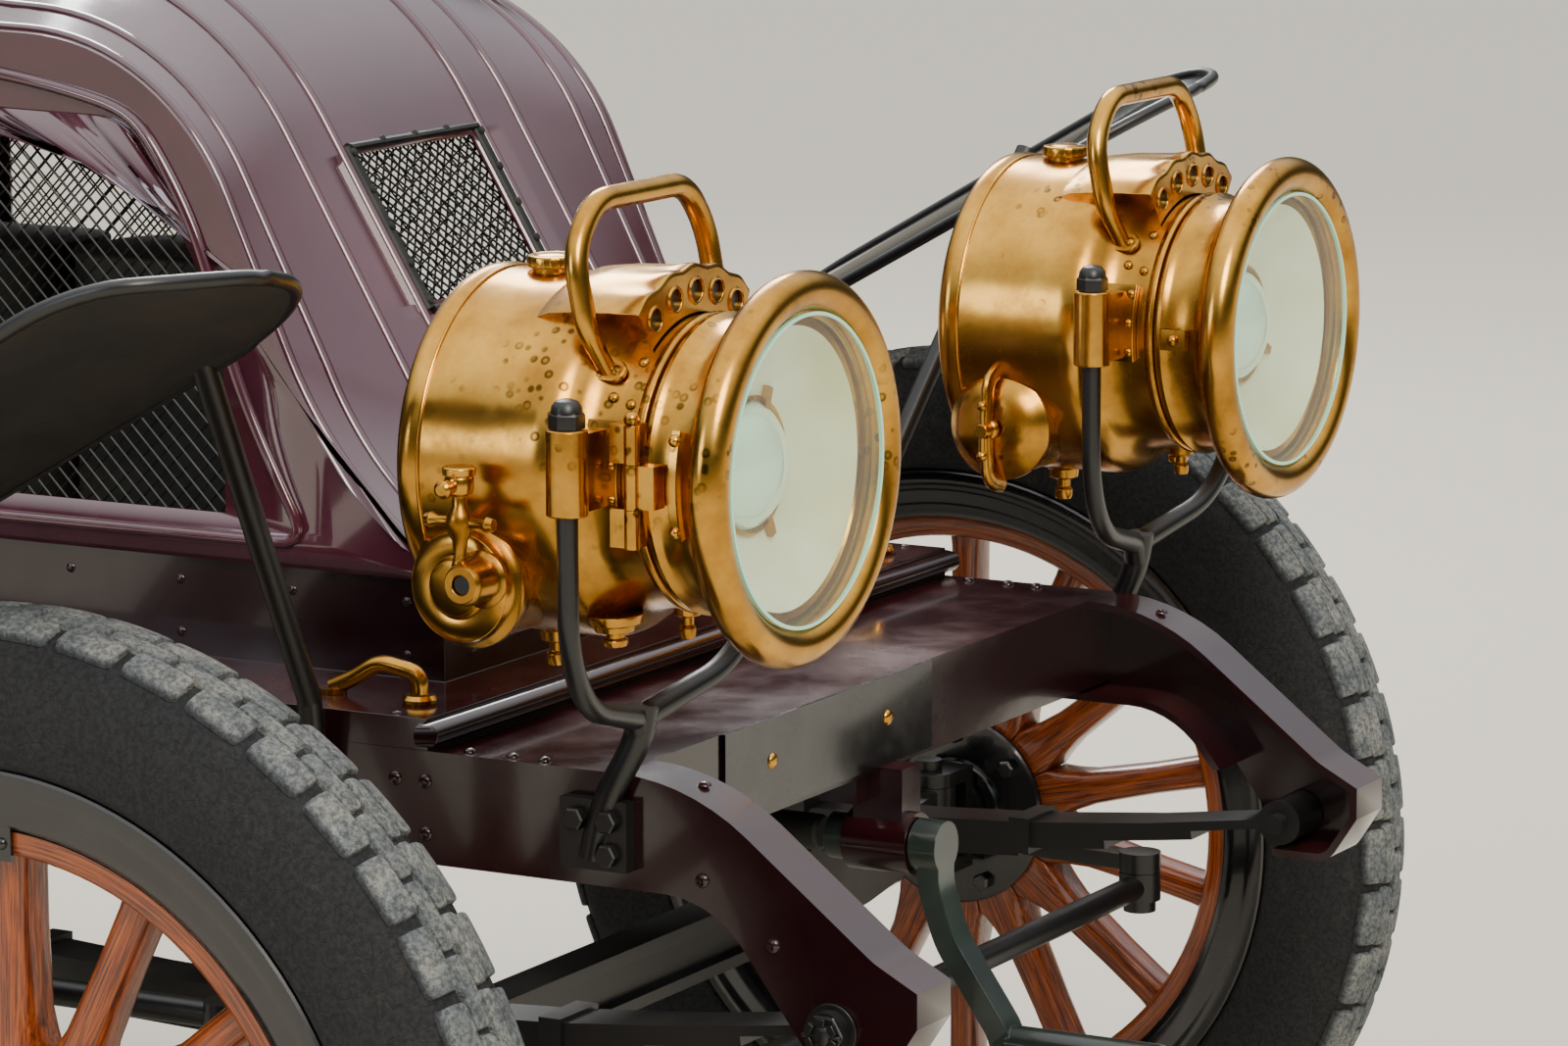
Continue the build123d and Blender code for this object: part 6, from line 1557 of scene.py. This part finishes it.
def blown_up(made, least, most):
    """Blows a pad up as cloth, held at the points noted on it. No point moves further than SWELL, or out of
    the box between two corners."""
    mesh = made.data
    n = len(mesh.vertices)
    note = np.empty(n, np.float32)
    mesh.attributes["held"].data.foreach_get("value", note)
    group = made.vertex_groups.new(name="held")
    group.add([int(i) for i in np.flatnonzero(note > 0.5)], 1.0, "REPLACE")
    start = np.empty(n * 3)
    mesh.vertices.foreach_get("co", start)
    cloth = made.modifiers.new("cloth", "CLOTH")
    cloth.settings.use_pressure = True
    cloth.settings.uniform_pressure_force = PRESSURE
    cloth.settings.vertex_group_mass = "held"
    cloth.settings.effector_weights.gravity = 0.0
    cloth.settings.quality = 4
    bpy.context.scene.frame_set(1)
    for step in range(1, FRAMES + 1):
        bpy.context.scene.frame_set(step)
    seen = made.evaluated_get(bpy.context.evaluated_depsgraph_get()).data
    end = np.empty(n * 3)
    seen.vertices.foreach_get("co", end)
    start, end = start.reshape(-1, 3), end.reshape(-1, 3)
    move = end - start
    length = np.linalg.norm(move, axis=1, keepdims=True)
    move *= np.minimum(1.0, SWELL / np.maximum(length, 1e-9))
    made.modifiers.remove(cloth)
    bpy.context.scene.frame_set(1)
    box = [end_point * MM + [0, AXLE_Y, 0] for end_point in (least, most)]
    mesh.vertices.foreach_set("co", np.clip(start + move, *box).ravel())
    mesh.update()


def buttoned(name, least, most, corner, top, columns, rows):
    """One buttoned pad between two corners of its box: a block that much smaller all round as it will swell,
    dented by a bell curve at each button and blown up as cloth. top is the axis that the buttons are on, 2
    for a cushion's top and 1 for a back's front."""
    least, most = np.array(least, float), np.array(most, float)
    size, middle = most - least - 2 * SLACK, (most + least) / 2
    v, f = pad_block(size, corner)
    face = v[:, 2] > size[2] / 2 - 0.5 if top == 2 else v[:, 1] < -size[1] / 2 + 0.5
    u, t = (0, 1) if top == 2 else (0, 2)
    places = button_places(size[0], size[1 if top == 2 else 2], columns, rows)
    near = np.full(len(v), 1e9)
    for at in places:
        near = np.minimum(near, np.hypot(v[:, u] - at[0], v[:, t] - at[1]))
    dent = BUTTON_DENT * np.exp(-(near / 24.0) ** 2) * face
    depth, sense = (2, -1) if top == 2 else (1, 1)
    v[:, depth] += sense * dent
    held = (near < 9) & face
    held |= (v[:, 2] < -size[2] / 2 + 1) if top == 2 else (v[:, 1] > size[1] / 2 - 1)
    mesh = bpy.data.meshes.new(name)
    mesh.from_pydata(((v + middle) * MM + [0, AXLE_Y, 0]).tolist(), [], f)
    work = bmesh.new()
    work.from_mesh(mesh)
    layer = work.verts.layers.float.new("held")
    for vert, hold in zip(list(work.verts), held):
        vert[layer] = float(hold)
    bmesh.ops.remove_doubles(work, verts=work.verts, dist=0.0005)
    bmesh.ops.recalc_face_normals(work, faces=work.faces)
    work.to_mesh(mesh)
    work.free()
    made = bpy.data.objects.new(name, mesh)
    bpy.context.scene.collection.objects.link(made)
    mesh.materials.append(leather)
    mesh.polygons.foreach_set("use_smooth", np.ones(len(mesh.polygons), bool))
    blown_up(made, least, most)
    return made, places, middle, size


def seat_pads(name, source, pads):
    """All the pads of one CAD node as one piece, with their leather-covered buttons."""
    made, buttons = [], []
    button = dome(9.5, 5, (0, 0, 0), 16)
    for i, (least, most, corner, top, columns, rows) in enumerate(pads):
        pad, places, middle, size = buttoned("%s_%d" % (name, i), least, most, corner, top, columns, rows)
        made.append(pad)
        for at in places:
            if top == 2:
                at_dent = middle + [at[0], at[1], size[2] / 2 - 19]
                buttons.append(moved(turned_to(button, "z"), at_dent))
            else:
                at_dent = middle + [at[0], -size[1] / 2 + 19, at[1]]
                buttons.append(moved(turned_to(button, "-y"), at_dent))
    piece(name + "_buttons", joined(*buttons), "chassis", leather, smooth=60)
    keep = made[0]
    work = bmesh.new()
    for pad in made:
        work.from_mesh(pad.data)
    work.to_mesh(keep.data)
    work.free()
    for pad in made[1:]:
        bpy.data.objects.remove(pad)
    keep.name = name
    finer = keep.modifiers.new("finer", "SUBSURF")
    finer.levels = finer.render_levels = 1
    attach(keep, "chassis")
    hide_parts(source)


seat_pads("buttoned_cushions", "seat_cushions",
          (((-520, 1458, 980.3), (520, 1745, 1090), 40, 2, 7, 3),
           ((-540, 2405, 990.3), (540, 2770, 1105), 40, 2, 7, 3)))
seat_pads("buttoned_backs", "seat_backs",
          (((-515, 1748, 980.3), (515, 1837.7, 1450), 68, 1, 7, 4),
           ((-530, 2772, 990.3), (530, 2877.7, 1492), 158, 1, 7, 4)))

low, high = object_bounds()
